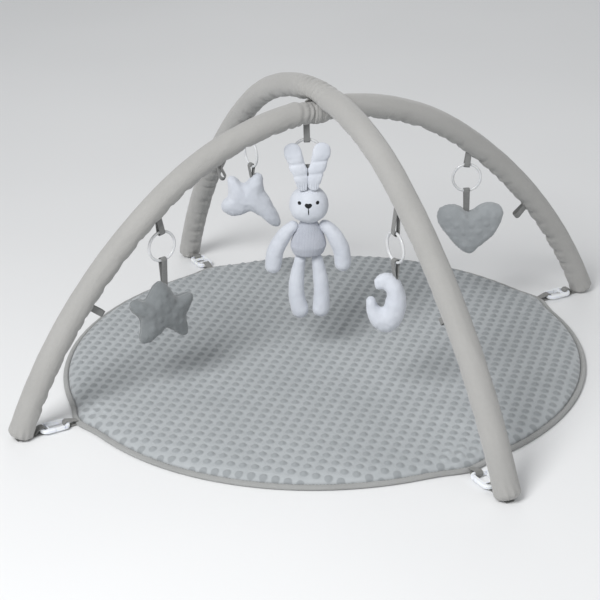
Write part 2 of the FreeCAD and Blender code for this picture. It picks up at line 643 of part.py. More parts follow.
def make_rabbit(toy):
    head_at, head_radii = RABBIT_HEAD["centre"], RABBIT_HEAD["radii"]
    head = ellipsoid(head_at, head_radii)

    def smaller(amount):
        return tuple(radius - amount for radius in head_radii)

    pieces = {}
    pieces["head"] = head.cut(ellipsoid(head_at, smaller(PLUSH_CLOTH)))
    body = rabbit_body_solid(0.0).cut(ellipsoid(head_at, tuple(r + GAP for r in head_radii)))
    body_hollow = rabbit_body_solid(PLUSH_CLOTH).cut(ellipsoid(head_at, smaller(-PLUSH_CLOTH)))
    body_fill = rabbit_body_solid(PLUSH_CLOTH + GAP).cut(ellipsoid(head_at, smaller(-PLUSH_CLOTH - GAP)))
    pieces["body"] = body.cut(body_hollow)
    pieces["stuffing"] = group([ellipsoid(head_at, smaller(PLUSH_CLOTH + GAP)), body_fill])

    # two padded ears in front of the ring, an arm and a leg on each side
    def mirrored(stations, sign):
        return [(sign * x, y, z, radius) for x, y, z, radius in stations]

    for side, sign, leg in (("left", -1, RABBIT_LEG_LEFT), ("right", 1, RABBIT_LEG_RIGHT)):
        pieces["ear_" + side] = limb(mirrored(RABBIT_EAR, sign), flatten=0.36)
        pieces["arm_" + side] = limb(mirrored(RABBIT_ARM, sign))
        pieces["leg_" + side] = limb(leg)

    # sewn features on the face: two eyes, a heart-shaped nose and a short mouth line
    def on_face(x, z, radius, proud):
        depth = head_radii[1] * sqrt(1 - ((x - head_at[0]) / head_radii[0]) ** 2
                                     - ((z - head_at[2]) / head_radii[2]) ** 2)
        return Part.makeSphere(radius, V(x, -depth + radius - proud, z))

    eyes = [on_face(x, 280.2, 3.1, 1.0).cut(head) for x in (-14.5, 13.7)]
    pieces["eyes"] = group([max(eye.Solids, key=lambda solid: solid.Volume) for eye in eyes])
    skin_radii = tuple(radius + 0.8 for radius in head_radii)
    cover = ellipsoid(head_at, skin_radii).cut(head)
    nose_points = [(-6.3, 277.2), (0, 270.6), (6.3, 277.2), (3.4, 280.2), (0, 277.8), (-3.4, 280.2)]
    nose = Part.makePolygon([V(x - 0.8, -60, z) for x, z in nose_points + nose_points[:1]])
    nose = Part.Face(nose).extrude(V(0, 45, 0))
    mouth = Part.makeBox(2.0, 45, 13.0, V(-1.8, -60, 258.7))
    pieces["nose_and_mouth"] = cover.common(nose.fuse(mouth))

    strap = toy_strap(toy, head_at[2] + 10)
    for piece, shape in pieces.items():
        NODES["rabbit_" + piece] = hung(shape, toy, "toy_turn")
    strap = strap.cut(hung(head, toy, "toy_turn"))
    NODES["rabbit_strap"] = max(strap.Solids, key=lambda solid: solid.BoundBox.ZMax)


# ---------------------------------------------------------------------------
# build
# ---------------------------------------------------------------------------
make_mat()
NODES["mat_tabs"] = group([turned(mat_tab(), angle) for angle in FEET.values()])
for arch_name in ARCHES:
    make_arch(arch_name)
make_crossing_band()
for foot_name, foot_angle in FEET.items():
    make_hook(foot_name, foot_angle)
for toy_name, toy_data in HANGING.items():
    make_ring(toy_name, toy_data)
make_outline_toy("star", STAR, STAR_OUTLINE, STAR_CENTRE, STAR_DEPTH)
make_outline_toy("white_star", WHITE_STAR, WHITE_STAR_OUTLINE, WHITE_STAR_CENTRE, WHITE_STAR_DEPTH)
make_outline_toy("heart", HEART, HEART_OUTLINE, HEART_CENTRE, HEART_DEPTH)
make_moon(MOON)
make_rabbit(RABBIT)

os.makedirs("parts", exist_ok=True)
for node, shape in sorted(NODES.items()):
    box = shape.BoundBox
    print("%-24s solids %d valid %s volume %9.0f  z %.1f to %.1f" % (
        node, len(shape.Solids), shape.isValid(), shape.Volume, box.ZMin, box.ZMax))
    shape.exportStep("parts/%s.step" % node)
whole = Part.makeCompound(list(NODES.values())).BoundBox
print("nodes", len(NODES), "size", round(whole.XLength, 1), round(whole.YLength, 1), round(whole.ZLength, 1))
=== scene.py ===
# %% [markdown]
# # A baby's play gym
# A round padded mat carries two padded arches that cross over the middle. Straps and
# snap hooks hold the four feet to the mat, and five soft toys hang from the arches on
# rings. Hard parts come straight from the engineering model. Everything made of cloth is
# modelled again here, because cloth needs folds, seams and stuffing that a solid lacks.

# %% Load the engineering model
import json
from math import acos, atan2, cos, exp, hypot, pi, radians, sin, sqrt

import bmesh
import bpy
from mathutils import Matrix, Vector, noise
from mathutils.bvhtree import BVHTree


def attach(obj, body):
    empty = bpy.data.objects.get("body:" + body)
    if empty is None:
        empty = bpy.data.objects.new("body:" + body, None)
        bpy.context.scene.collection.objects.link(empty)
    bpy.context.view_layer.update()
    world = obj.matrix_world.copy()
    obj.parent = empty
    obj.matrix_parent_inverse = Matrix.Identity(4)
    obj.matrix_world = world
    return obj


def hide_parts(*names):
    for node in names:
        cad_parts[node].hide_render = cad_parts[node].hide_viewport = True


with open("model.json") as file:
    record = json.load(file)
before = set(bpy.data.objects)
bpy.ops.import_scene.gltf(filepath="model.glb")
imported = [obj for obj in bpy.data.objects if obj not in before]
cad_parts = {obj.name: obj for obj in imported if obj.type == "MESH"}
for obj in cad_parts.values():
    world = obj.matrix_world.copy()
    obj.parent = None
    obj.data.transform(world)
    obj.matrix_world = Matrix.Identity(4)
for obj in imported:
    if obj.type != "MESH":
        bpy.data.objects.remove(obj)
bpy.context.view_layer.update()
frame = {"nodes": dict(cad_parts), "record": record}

# %% [markdown]
# ## Camera, floor and light
# The gym stands on a plain pale floor under large soft lamps, as in a shop's studio. A
# pale world fills the shadows, and one wide lamp high on the left gives the tubes a
# lighter top and a darker underside, which shows that they are round.

# %% Camera
AZIMUTH, ELEVATION, ROLL = radians(-27.658), radians(24.102), -0.0312
CAMERA_PLACE = (-1.1592, -2.1342, 1.1925)      # metres
LENS, SENSOR = 98.78, 36                       # mm

backwards = Vector((sin(AZIMUTH) * cos(ELEVATION), -cos(AZIMUTH) * cos(ELEVATION), sin(ELEVATION)))
level_right = Vector((cos(AZIMUTH), sin(AZIMUTH), 0))
level_up = backwards.cross(level_right)
camera_right = cos(ROLL) * level_right + sin(ROLL) * level_up
camera_up = cos(ROLL) * level_up - sin(ROLL) * level_right

camera = bpy.data.objects.new("camera", bpy.data.cameras.new("camera"))
camera.data.lens = LENS
camera.data.sensor_width = SENSOR
camera.matrix_world = Matrix((camera_right, camera_up, backwards)).transposed().to_4x4()
camera.matrix_world.translation = CAMERA_PLACE
bpy.context.scene.collection.objects.link(camera)
bpy.context.scene.camera = camera
print("camera at", tuple(round(c, 3) for c in camera.matrix_world.translation))


# %% Lamps and world
AIM = Vector((0, 0, 0.2))         # a little above the middle of the mat
WORLD_COLOUR, WORLD_STRENGTH = (0.93, 0.945, 0.96, 1), 0.44


def soft_lamp(name, place, size, power):
    lamp = bpy.data.objects.new(name, bpy.data.lights.new(name, "AREA"))
    lamp.data.size = size
    lamp.data.energy = power
    lamp.location = place
    lamp.rotation_euler = (AIM - lamp.location).to_track_quat("-Z", "Y").to_euler()
    bpy.context.scene.collection.objects.link(lamp)


soft_lamp("high_left", (-2.0, -1.2, 2.4), 1.3, 80)
soft_lamp("front_fill", (0.8, -2.8, 1.8), 2.5, 8)
soft_lamp("back_rim", (1.2, 2.2, 2.2), 1.8, 10)
world = bpy.data.worlds.new("pale studio")
world.use_nodes = True
background = world.node_tree.nodes["Background"]
background.inputs["Color"].default_value = WORLD_COLOUR
background.inputs["Strength"].default_value = WORLD_STRENGTH
bpy.context.scene.world = world
bpy.context.scene.view_settings.view_transform = "Standard"

# %% [markdown]
# ## Effects that several materials share
# Woven cloth, brushed plush and ribbed tape appear on many pieces, so each is a node
# group with its own inputs. A group gives only a height and a tone. The surface shader
# itself stays in each material, where its sheen and gloss are given.


# %% Node helpers
def set_inputs(tree, node, inputs):
    """Fills a node's inputs; each is a plain value or another node's output."""
    for name, value in inputs.items():
        if isinstance(value, bpy.types.NodeSocket):
            tree.links.new(value, node.inputs[name])
        else:
            node.inputs[name].default_value = value


def add_node(tree, kind, inputs=None, **settings):
    """A node with its settings and its inputs."""
    made = tree.nodes.new(kind)
    for name, value in settings.items():
        setattr(made, name, value)
    set_inputs(tree, made, inputs or {})
    return made


def calc(tree, operation, *values):
    """A Math node on one, two or three values."""
    return add_node(tree, "ShaderNodeMath", dict(enumerate(values)), operation=operation).outputs[0]


def effect_group(name, inputs, outputs):
    """An empty shader group; inputs and outputs map a name to a kind of socket."""
    tree = bpy.data.node_groups.new(name, "ShaderNodeTree")
    for in_out, sockets in (("INPUT", inputs), ("OUTPUT", outputs)):
        for title, kind in sockets.items():
            tree.interface.new_socket(title, in_out=in_out, socket_type="NodeSocket" + kind)
    return tree, tree.nodes.new("NodeGroupInput").outputs, tree.nodes.new("NodeGroupOutput").inputs


# %% Woven cloth: threads over and under each other
weave, given, result = effect_group(
    "woven threads", {"Place": "Vector", "Threads per metre": "Float"},
    {"Height": "Float", "Tone": "Float"})
scaled = add_node(weave, "ShaderNodeVectorMath", {0: given["Place"], "Scale": given["Threads per metre"]},
                  operation="SCALE").outputs[0]
apart = add_node(weave, "ShaderNodeSeparateXYZ", {0: scaled}).outputs
across = calc(weave, "ADD", apart["X"], apart["Z"])
warp = calc(weave, "SINE", calc(weave, "MULTIPLY", across, pi))
weft = calc(weave, "SINE", calc(weave, "MULTIPLY", apart["Y"], pi))
over = calc(weave, "GREATER_THAN", calc(weave, "MULTIPLY", warp, weft), 0.0)
warp_up = calc(weave, "MULTIPLY", calc(weave, "ABSOLUTE", warp), over)
weft_up = calc(weave, "MULTIPLY", calc(weave, "ABSOLUTE", weft), calc(weave, "SUBTRACT", 1.0, over))
weave.links.new(calc(weave, "ADD", warp_up, weft_up), result["Height"])
slub = add_node(weave, "ShaderNodeTexNoise", {"Vector": given["Place"], "Scale": 190.0, "Detail": 4.0})
weave.links.new(calc(weave, "MULTIPLY_ADD", slub.outputs["Fac"], 0.6, calc(weave, "MULTIPLY", over, 0.3)),
                result["Tone"])

# %% Plush: short fibres brushed into patches
plush, given, result = effect_group(
    "plush pile", {"Place": "Vector", "Fibres": "Float"}, {"Height": "Float", "Tone": "Float"})
fibres = add_node(plush, "ShaderNodeTexNoise", {"Vector": given["Place"], "Scale": given["Fibres"],
                                                "Detail": 3.0, "Roughness": 0.7}).outputs["Fac"]
brushed = add_node(plush, "ShaderNodeTexNoise", {"Vector": given["Place"], "Scale": 55.0, "Detail": 4.0,
                                                 "Distortion": 0.8}).outputs["Fac"]
plush.links.new(calc(plush, "MULTIPLY_ADD", brushed, 0.45, calc(plush, "MULTIPLY", fibres, 0.55)),
                result["Height"])
plush.links.new(calc(plush, "MULTIPLY_ADD", brushed, 0.75, calc(plush, "MULTIPLY", fibres, 0.35)),
                result["Tone"])

# %% Tape: ribs across a woven strap, with tight selvedges
ribs, given, result = effect_group(
    "tape ribs", {"Place": "Vector", "Ribs per metre": "Float"}, {"Height": "Float", "Tone": "Float"})
apart = add_node(ribs, "ShaderNodeSeparateXYZ", {0: given["Place"]}).outputs
rib = calc(ribs, "SINE",
           calc(ribs, "MULTIPLY", calc(ribs, "MULTIPLY", apart["X"], given["Ribs per metre"]), 2 * pi))
strand = calc(ribs, "SINE", calc(ribs, "MULTIPLY", apart["Y"], 6283.0))
ribs.links.new(calc(ribs, "MULTIPLY_ADD", rib, 0.4, calc(ribs, "MULTIPLY_ADD", strand, 0.2, 0.5)),
               result["Height"])
fuzz = add_node(ribs, "ShaderNodeTexNoise", {"Vector": given["Place"], "Scale": 320.0, "Detail": 3.0})
# The tone follows the ribs, so the grooves between them are darker: painted shade, on top of random fuzz.
ribs.links.new(calc(ribs, "MULTIPLY_ADD", rib, 0.18, fuzz.outputs["Fac"]), result["Tone"])

# %% Use and washing: faint paler and darker clouds, so no surface is one flat colour
washed, given, result = effect_group(
    "washed unevenly", {"Place": "Vector", "Cloud size": "Float"}, {"Tone": "Float"})
clouds = add_node(washed, "ShaderNodeTexNoise", {"Vector": given["Place"], "Scale": given["Cloud size"],
                                                 "Detail": 2.0}).outputs["Fac"]
spread = add_node(washed, "ShaderNodeMapRange", {"Value": clouds, 1: 0.3, 2: 0.7}).outputs[0]
washed.links.new(spread, result["Tone"])
print("groups:", [group.name for group in bpy.data.node_groups])


# %% [markdown]
# ## The finishes
# Every cloth uses the same recipe: two close colours mixed by the group's tone, the
# group's height as a small bump, and a sheen for the fuzz of its fibres. Swept pieces
# carry a UV map measured in metres, so their threads run along the piece.


# %% A recipe for cloth, plush and tape
COLOUR_A, COLOUR_B, MIXED_COLOUR = 6, 7, 2      # a Mix node's colour sockets


def colour_mix(tree, tone, first, second):
    """Mixes two colours, each a triple or another node's output, by a tone from 0 to 1."""
    first, second = (value if isinstance(value, bpy.types.NodeSocket) else (*value, 1)
                     for value in (first, second))
    mixed = add_node(tree, "ShaderNodeMix", {"Factor": tone, COLOUR_A: first, COLOUR_B: second},
                     data_type="RGBA")
    return mixed.outputs[MIXED_COLOUR]


def new_material(name):
    """A new material, with its node tree and its surface shader."""
    material = bpy.data.materials.new(name)
    material.use_nodes = True
    return material, material.node_tree, material.node_tree.nodes["Principled BSDF"]


def fabric(name, group, grain, dark, light, bump, roughness=0.9, sheen=0.3, place="Object", clouds=9.0):
    """A material in which a group's tone mixes two colours and its height makes a small bump."""
    material, tree, surface = new_material(name)
    where = add_node(tree, "ShaderNodeTexCoord").outputs[place]
    pattern = add_node(tree, "ShaderNodeGroup", {0: where, 1: grain}, node_tree=group)
    uneven = add_node(tree, "ShaderNodeGroup", {0: where, 1: clouds}, node_tree=washed)
    tone = calc(tree, "MULTIPLY_ADD", uneven.outputs["Tone"], 0.35,
                calc(tree, "MULTIPLY", pattern.outputs["Tone"], 0.65))
    relief = add_node(tree, "ShaderNodeBump", {"Height": pattern.outputs["Height"], "Strength": 0.7,
                                               "Distance": bump})
    set_inputs(tree, surface, {
        "Base Color": colour_mix(tree, tone, dark, light), "Normal": relief.outputs[0],
        "Roughness": roughness, "Sheen Weight": sheen, "Sheen Roughness": 0.5, "Specular IOR Level": 0.25})
    return material


# %% Cloths and tapes
sleeve_cloth = fabric("sleeve cloth", weave, 2600.0, (0.345, 0.342, 0.33), (0.44, 0.433, 0.42), 0.00012,
                      roughness=0.8, sheen=0.35, place="UV")
binding_tape = fabric("binding tape", weave, 1800.0, (0.29, 0.295, 0.29), (0.42, 0.425, 0.42), 0.0002)
base_cloth = fabric("base cloth", weave, 1500.0, (0.2, 0.205, 0.21), (0.27, 0.275, 0.28), 0.0002)
grey_webbing = fabric("grey webbing", ribs, 700.0, (0.19, 0.19, 0.185), (0.33, 0.33, 0.32), 0.0003,
                      place="UV", sheen=0.15)
toy_webbing = fabric("toy webbing", ribs, 800.0, (0.17, 0.172, 0.17), (0.31, 0.31, 0.305), 0.0003,
                     place="UV", sheen=0.15)
stitch_thread = fabric("stitching thread", ribs, 2500.0, (0.2, 0.2, 0.195), (0.33, 0.33, 0.32), 0.0001,
                       sheen=0.1)
dark_thread = fabric("dark embroidery thread", weave, 3600.0, (0.006, 0.006, 0.008), (0.02, 0.02, 0.024),
                     0.0002, roughness=0.45, sheen=0.0)

# %% Plushes
dark_grey_plush = fabric("dark grey plush", plush, 1500.0, (0.14, 0.152, 0.158), (0.24, 0.258, 0.266),
                         0.0009, sheen=0.5, clouds=22.0)
grey_plush = fabric("grey plush", plush, 1500.0, (0.28, 0.30, 0.312), (0.41, 0.432, 0.448), 0.0009,
                    sheen=0.5, clouds=22.0)
white_plush = fabric("white plush", plush, 1500.0, (0.50, 0.53, 0.59), (0.70, 0.725, 0.78), 0.0008,
                     sheen=0.4, clouds=22.0)
dot_plush = fabric("dotted plush", plush, 1300.0, (0.34, 0.362, 0.374), (0.48, 0.505, 0.52), 0.0008,
                   sheen=0.35, clouds=6.0)
print("materials:", len(bpy.data.materials))

# %% [markdown]
# The mat's plush is embossed with soft round dots in staggered rows. The colour is darkened
# over each dot and fades out over its rim: painted shade of the raised dots. The same row
# spacing shapes the mesh later, so the painted shade falls exactly on the raised dots.

# %% Painted shade over the mat's dots
DOT_PITCH = 18.2                 # mm between neighbouring dots
DOT_RADIUS = 6.4

tree = dot_plush.node_tree
where = add_node(tree, "ShaderNodeTexCoord").outputs["Object"]
turned = add_node(tree, "ShaderNodeMapping", {"Vector": where, "Rotation": (0, 0, pi / 4),
                                              "Scale": (1000 / DOT_PITCH, 1000 / DOT_PITCH, 0.0)})
cell = add_node(tree, "ShaderNodeVectorMath", {0: turned.outputs[0]}, operation="FRACTION").outputs[0]
middle = add_node(tree, "ShaderNodeVectorMath", {0: cell, 1: (0.5, 0.5, 0.0)},
                  operation="DISTANCE").outputs["Value"]
painted_dot_shade = add_node(tree, "ShaderNodeMapRange", {"Value": middle, 1: 0.40, 2: 0.27, 3: 0.0, 4: 1.0},
                      interpolation_type="SMOOTHSTEP").outputs[0]
surface = tree.nodes["Principled BSDF"]
plain = surface.inputs["Base Color"].links[0].from_socket
# Painted shade: the colour is mixed towards a darker grey over each dot, fading out at its rim.
shaded = colour_mix(tree, calc(tree, "MULTIPLY", painted_dot_shade, 0.52), plain, (0.20, 0.215, 0.225))
tree.links.new(shaded, surface.inputs["Base Color"])
print("dots every", DOT_PITCH, "mm")

# %% [markdown]
# The rabbit's body is knitted: upright columns of loops, in rows. The columns run in the
# rabbit's own plane, so the place is first turned the way that the rabbit faces.

# %% Knitted loops on the rabbit's body
RABBIT_TURN = -27.7               # degrees

knit, given, result = effect_group(
    "knitted loops", {"Place": "Vector", "Loops per metre": "Float"}, {"Height": "Float", "Tone": "Float"})
facing = add_node(knit, "ShaderNodeMapping",
                  {"Vector": given["Place"], "Rotation": (0, 0, -radians(RABBIT_TURN))})
scaled = add_node(knit, "ShaderNodeVectorMath", {0: facing.outputs[0], "Scale": given["Loops per metre"]},
                  operation="SCALE").outputs[0]
apart = add_node(knit, "ShaderNodeSeparateXYZ", {0: scaled}).outputs
column = calc(knit, "ABSOLUTE", calc(knit, "SINE", calc(knit, "MULTIPLY", apart["X"], pi)))
slanted = calc(knit, "MULTIPLY_ADD", column, 0.8, apart["Z"])
row = calc(knit, "ABSOLUTE", calc(knit, "SINE", calc(knit, "MULTIPLY", slanted, pi)))
wool = add_node(knit, "ShaderNodeTexNoise", {"Vector": given["Place"], "Scale": 900.0, "Detail": 3.0})
loops = calc(knit, "MULTIPLY_ADD", column, 0.5, calc(knit, "MULTIPLY", row, 0.5))
knit.links.new(calc(knit, "MULTIPLY_ADD", wool.outputs["Fac"], 0.3, loops), result["Height"])
# The tone follows the loops' height, so the dips between the loops are darker: painted shade.
knit.links.new(calc(knit, "MULTIPLY_ADD", loops, 0.7, calc(knit, "MULTIPLY", wool.outputs["Fac"], 0.3)),
               result["Tone"])
white_knit = fabric("white ribbed knit", knit, 420.0, (0.30, 0.325, 0.385), (0.58, 0.60, 0.66), 0.0009,
                    sheen=0.3, clouds=22.0)


# %% [markdown]
# ## Hard parts: plastic, rubber and metal
# The snap hooks and rings are moulded plastic. Moulded white plastic is slightly milky,
# so light goes a little way in, and its handled faces carry faint cloudy scuffs in the
# gloss. The rods and their joiner lie inside the tubes and only need honest finishes.


# %% A recipe for moulded plastic, rubber and metal
def moulded(name, dark, light, roughness, milky=0.0, metallic=0.0, scuff_size=60.0):
    """A hard finish whose colour and gloss vary in faint clouds."""
    material, tree, surface = new_material(name)
    where = add_node(tree, "ShaderNodeTexCoord").outputs["Object"]
    uneven = add_node(tree, "ShaderNodeGroup", {0: where, 1: scuff_size}, node_tree=washed).outputs["Tone"]
    gloss = add_node(tree, "ShaderNodeMapRange",
                     {"Value": uneven, 3: roughness * 0.75, 4: roughness * 1.35})
    scratches = add_node(tree, "ShaderNodeTexNoise", {"Vector": where, "Scale": 900.0, "Detail": 2.0})
    relief = add_node(tree, "ShaderNodeBump", {"Height": scratches.outputs["Fac"], "Strength": 0.15,
                                               "Distance": 0.0001})
    set_inputs(tree, surface, {
        "Base Color": colour_mix(tree, uneven, dark, light), "Roughness": gloss.outputs[0],
        "Normal": relief.outputs[0], "Subsurface Weight": milky,
        "Subsurface Radius": (0.002, 0.002, 0.0025), "Metallic": metallic})
    return material


# %% Hard finishes
hook_plastic = moulded("hook plastic", (0.80, 0.83, 0.88), (0.90, 0.92, 0.95), 0.32, milky=0.3)
ring_plastic = moulded("ring plastic", (0.60, 0.61, 0.62), (0.72, 0.73, 0.74), 0.18, milky=0.15)
rod_plastic = moulded("rod plastic", (0.66, 0.66, 0.62), (0.74, 0.74, 0.70), 0.45)
joiner_metal = moulded("joiner tube", (0.55, 0.55, 0.55), (0.66, 0.66, 0.66), 0.3, metallic=1.0)
cap_rubber = moulded("cap rubber", (0.03, 0.03, 0.03), (0.05, 0.05, 0.05), 0.7)

finishes = {"rod_plastic": rod_plastic, "joiner_metal": joiner_metal, "cap_rubber": cap_rubber,
            "hook_plastic": hook_plastic, "ring_plastic": ring_plastic}
for part in frame["record"]["subparts"]:
    if part["material_slot"] in finishes:
        node = frame["nodes"][part["node"]]
        node.data.materials.clear()
        node.data.materials.append(finishes[part["material_slot"]])


# %% [markdown]
# ## Shape helpers
# Everything is shaped in millimetres and made metres at the end. Tubes, tapes and limbs
# are all one idea: a ring of points that is copied forward along a path, station by
# station, and resized as it goes. Each point remembers how far along and how far round
# it lies, which later places the wrinkles and the UV map.


# %% Sweep a ring along stations
def squared(value, power):
    return (1 if value > 0 else -1) * abs(value) ** power


def station_matrix(station):
    """Turns the unit ring into the section at a station: (centre, side, up, half width, half height)."""
    centre, side, up, half_width, half_height = station
    matrix = Matrix((side * half_width, up * half_height, side.cross(up))).transposed().to_4x4()
    matrix.translation = centre
    return matrix


def grown(bm, edges):
    """Copies a ring of edges where it stands: the new points, and the new ring."""
    added = bmesh.ops.extrude_edge_only(bm, edges=edges)["geom"]
    new = {item for item in added if isinstance(item, bmesh.types.BMVert)}
    return new, [item for item in added
                 if isinstance(item, bmesh.types.BMEdge) and item.verts[0] in new and item.verts[1] in new]


def sweep(stations, segments, power=1.0):
    """A closed swept shape. A power below 1 squares the section, as for tape."""
    bm = bmesh.new()
    along = bm.verts.layers.float.new("along")
    around = bm.verts.layers.float.new("around")
    ring = bmesh.ops.create_circle(bm, segments=segments, radius=1.0)["verts"]
    for vert in ring:
        vert[around] = (atan2(vert.co.y, vert.co.x) / (2 * pi)) % 1.0
        vert.co = (squared(vert.co.x, power), squared(vert.co.y, power), 0)
    bmesh.ops.transform(bm, matrix=station_matrix(stations[0]), verts=ring)
    edges = bm.edges[:]
    bmesh.ops.contextual_create(bm, geom=edges)
    travelled = 0.0
    for before, station in zip(stations, stations[1:]):
        travelled += (station[0] - before[0]).length
        new, edges = grown(bm, edges)
        step = station_matrix(station) @ station_matrix(before).inverted()
        bmesh.ops.transform(bm, matrix=step, verts=list(new))
        for vert in new:
            vert[along] = travelled
    bmesh.ops.contextual_create(bm, geom=edges)
    return bm


def dome(station, ahead, depth, angles=(24, 46, 66, 82)):
    """Further stations that close an end with a rounded cap."""
    centre, side, up, half_width, half_height = station
    return [(centre + ahead * depth * sin(radians(a)), side, up,
             half_width * cos(radians(a)), half_height * cos(radians(a))) for a in angles]


def with_domes(stations, depth=None):
    """The same stations with a rounded cap at each end."""
    start, end = (dome(tip, (tip[0] - inner[0]).normalized(), depth or max(tip[3:]))
                  for tip, inner in (stations[:2], stations[:-3:-1]))
    return start[::-1] + stations + end


def lay_uv(bm, girth):
    """A UV map in metres: along the piece, and round its girth."""
    along, around = bm.verts.layers.float["along"], bm.verts.layers.float["around"]
    uv = bm.loops.layers.uv.new("cloth")
    for face in bm.faces:
        turns = [loop.vert[around] for loop in face.loops]
        wraps = max(turns) - min(turns) > 0.5
        for loop, turn in zip(face.loops, turns):
            turn += 1.0 if wraps and turn < 0.5 else 0.0
            loop[uv].uv = (loop.vert[along] / 1000, turn * girth / 1000)


# %% Resize, turn and move a shape, and make it an object
def resized(bm, factor):
    bmesh.ops.scale(bm, vec=(factor, factor, factor), verts=bm.verts)
    return bm


def spun(bm, degrees, axis="Z"):
    """Turns a shape about the upright axis, or another."""
    bmesh.ops.rotate(bm, cent=(0, 0, 0), matrix=Matrix.Rotation(radians(degrees), 3, axis), verts=bm.verts)
    return bm


def shifted(bm, offset):
    bmesh.ops.translate(bm, vec=offset, verts=bm.verts)
    return bm


def as_object(bm, name):
    """The object that a shape becomes, placed in the scene."""
    mesh = bpy.data.meshes.new(name)
    bm.to_mesh(mesh)
    bm.free()
    made = bpy.data.objects.new(name, mesh)
    bpy.context.scene.collection.objects.link(made)
    return made


# %% Finish a piece: metres, outward faces, material, body, and the parts it replaces hidden
def finish_piece(bm, name, material, body, stands_for=(), smoothing=1):
    """Makes the object that a shape in millimetres becomes, and says what it rides on and stands for."""
    resized(bm, 0.001)
    bmesh.ops.recalc_face_normals(bm, faces=bm.faces)
    piece = as_object(bm, name)
    mesh = piece.data
    mesh.polygons.foreach_set("use_smooth", [True] * len(mesh.polygons))
    mesh.materials.append(material)
    if smoothing:
        finer = piece.modifiers.new("finer", "SUBSURF")
        finer.levels = finer.render_levels = smoothing
    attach(piece, body)
    if stands_for:
        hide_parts(*stands_for)
    print(name, len(mesh.polygons), "faces")


def joined(shapes):
    """Several shapes as one."""
    whole = bmesh.new()
    for shape in shapes:
        mesh = bpy.data.meshes.new("part")
        shape.to_mesh(mesh)
        shape.free()
        whole.from_mesh(mesh)
        bpy.data.meshes.remove(mesh)
    return whole


# %% [markdown]
# ## The arches' line
# Each arch is a slim rod inside a padded tube. The rod bends into one arc over the crown
# and a slightly rounder one down each leg. The two radii follow from the arch's height,
# from where its feet stand, and from the slope where one arc hands over to the other.

# %% Points and directions along an arch
FOOT_RADIUS = 526.0              # mm from the middle to where a tube's middle line meets the floor
CROWN_ANGLE, FOOT_ANGLE = radians(36.2), radians(67.4)
TUBE_RADIUS = 19.15
ARCHES = {"lower": (425.8, 0.0), "upper": (454.2, -90.0)}      # height of the crown, turn


def arc_radii(height):
    """Radius of the crown arc and of the leg arcs."""
    a = Matrix(((sin(CROWN_ANGLE), sin(FOOT_ANGLE) - sin(CROWN_ANGLE)),
                (1 - cos(CROWN_ANGLE), cos(CROWN_ANGLE) - cos(FOOT_ANGLE))))
    return a.inverted() @ Vector((FOOT_RADIUS, height))


def arch_point(height, angle):
    """Middle of the tube, and the outward direction, where the arch slopes by this angle."""
    crown, leg = arc_radii(height)
    side, steep = (1 if angle > 0 else -1), abs(angle)
    first, rest = min(steep, CROWN_ANGLE), max(steep, CROWN_ANGLE)
    x = crown * sin(first) + leg * (sin(rest) - sin(CROWN_ANGLE))
    z = height - crown * (1 - cos(first)) - leg * (cos(CROWN_ANGLE) - cos(rest))
    return Vector((side * x, 0, z)), Vector((sin(angle), 0, cos(angle)))


def arch_angle(height, x):
    """Slope of the arch where its middle line is x from the middle."""
    low, high = 0.0, radians(80)
    for _ in range(40):
        middle = (low + high) / 2
        low, high = (middle, high) if arch_point(height, middle)[0].x < abs(x) else (low, middle)
    return low if x > 0 else -low


def arch_length(height, angle):
    """Distance along the middle line from the crown, in mm, with the angle's sign."""
    crown, leg = arc_radii(height)
    steep = abs(angle)
    length = crown * min(steep, CROWN_ANGLE) + leg * max(0.0, steep - CROWN_ANGLE)
    return length if angle > 0 else -length


print("crown and leg radius:",
      {name: tuple(round(r) for r in arc_radii(height)) for name, (height, _) in ARCHES.items()})

# %% [markdown]
# ## The padded tubes
# A tube is a cloth sleeve over a foam pipe. Its seam runs along the inside of the curve,
# where the shorter side leaves cloth to spare, so it puckers there. Where the arches
# cross, the soft tubes press into each other: the cloth folds into creases over the top
# tube and gathers under the lower one.


# %% Wrinkles of a tube, as a distance in or out at each point
INSIDE, OUTSIDE = 0.75, 0.25      # share of the way round, on the inside and the outside of the curve
CREASES = (                       # side, distance from the crossing, lean, depth and width, in mm
    (-1, 3, 6, 3.6, 1.6), (1, 3, 5, 3.2, 1.6), (-1, 9, 11, 3.4, 1.9), (1, 9, 10, 2.8, 1.9),
    (-1, 16, 15, 2.2, 2.4), (1, 17, 16, 1.9, 2.4), (-1, 27, 20, 1.3, 3.2), (1, 28, 22, 1.2, 3.2))


def off_line(turn, line):
    """How far round from a line along the tube, up to half a turn."""
    return abs((turn - line + 0.5) % 1.0 - 0.5)


def crossing_pinch(upper, distance, turn):
    """How far the tube is pressed in, on the side that faces the other tube."""
    pressed = 5.6 - distance * distance / 224
    if pressed <= 0:
        return 0.0
    off = off_line(turn, INSIDE if upper else OUTSIDE) * 360
    return pressed * exp(-(off / 62) ** 4)


def crossing_creases(upper, distance, turn):
    """Folds that fan out from the crossing."""
    off = off_line(turn, INSIDE if upper else OUTSIDE) * 2      # 0 at the contact, 1 opposite
    depth = 0.0
    for side, near, lean, deep, wide in CREASES:
        place = side * (near + lean * off ** 1.5)
        depth += deep * exp(-((distance - place) / wide) ** 2) * (0.75 + 0.25 * off if upper else 1.0)
    return depth if upper else 0.75 * depth


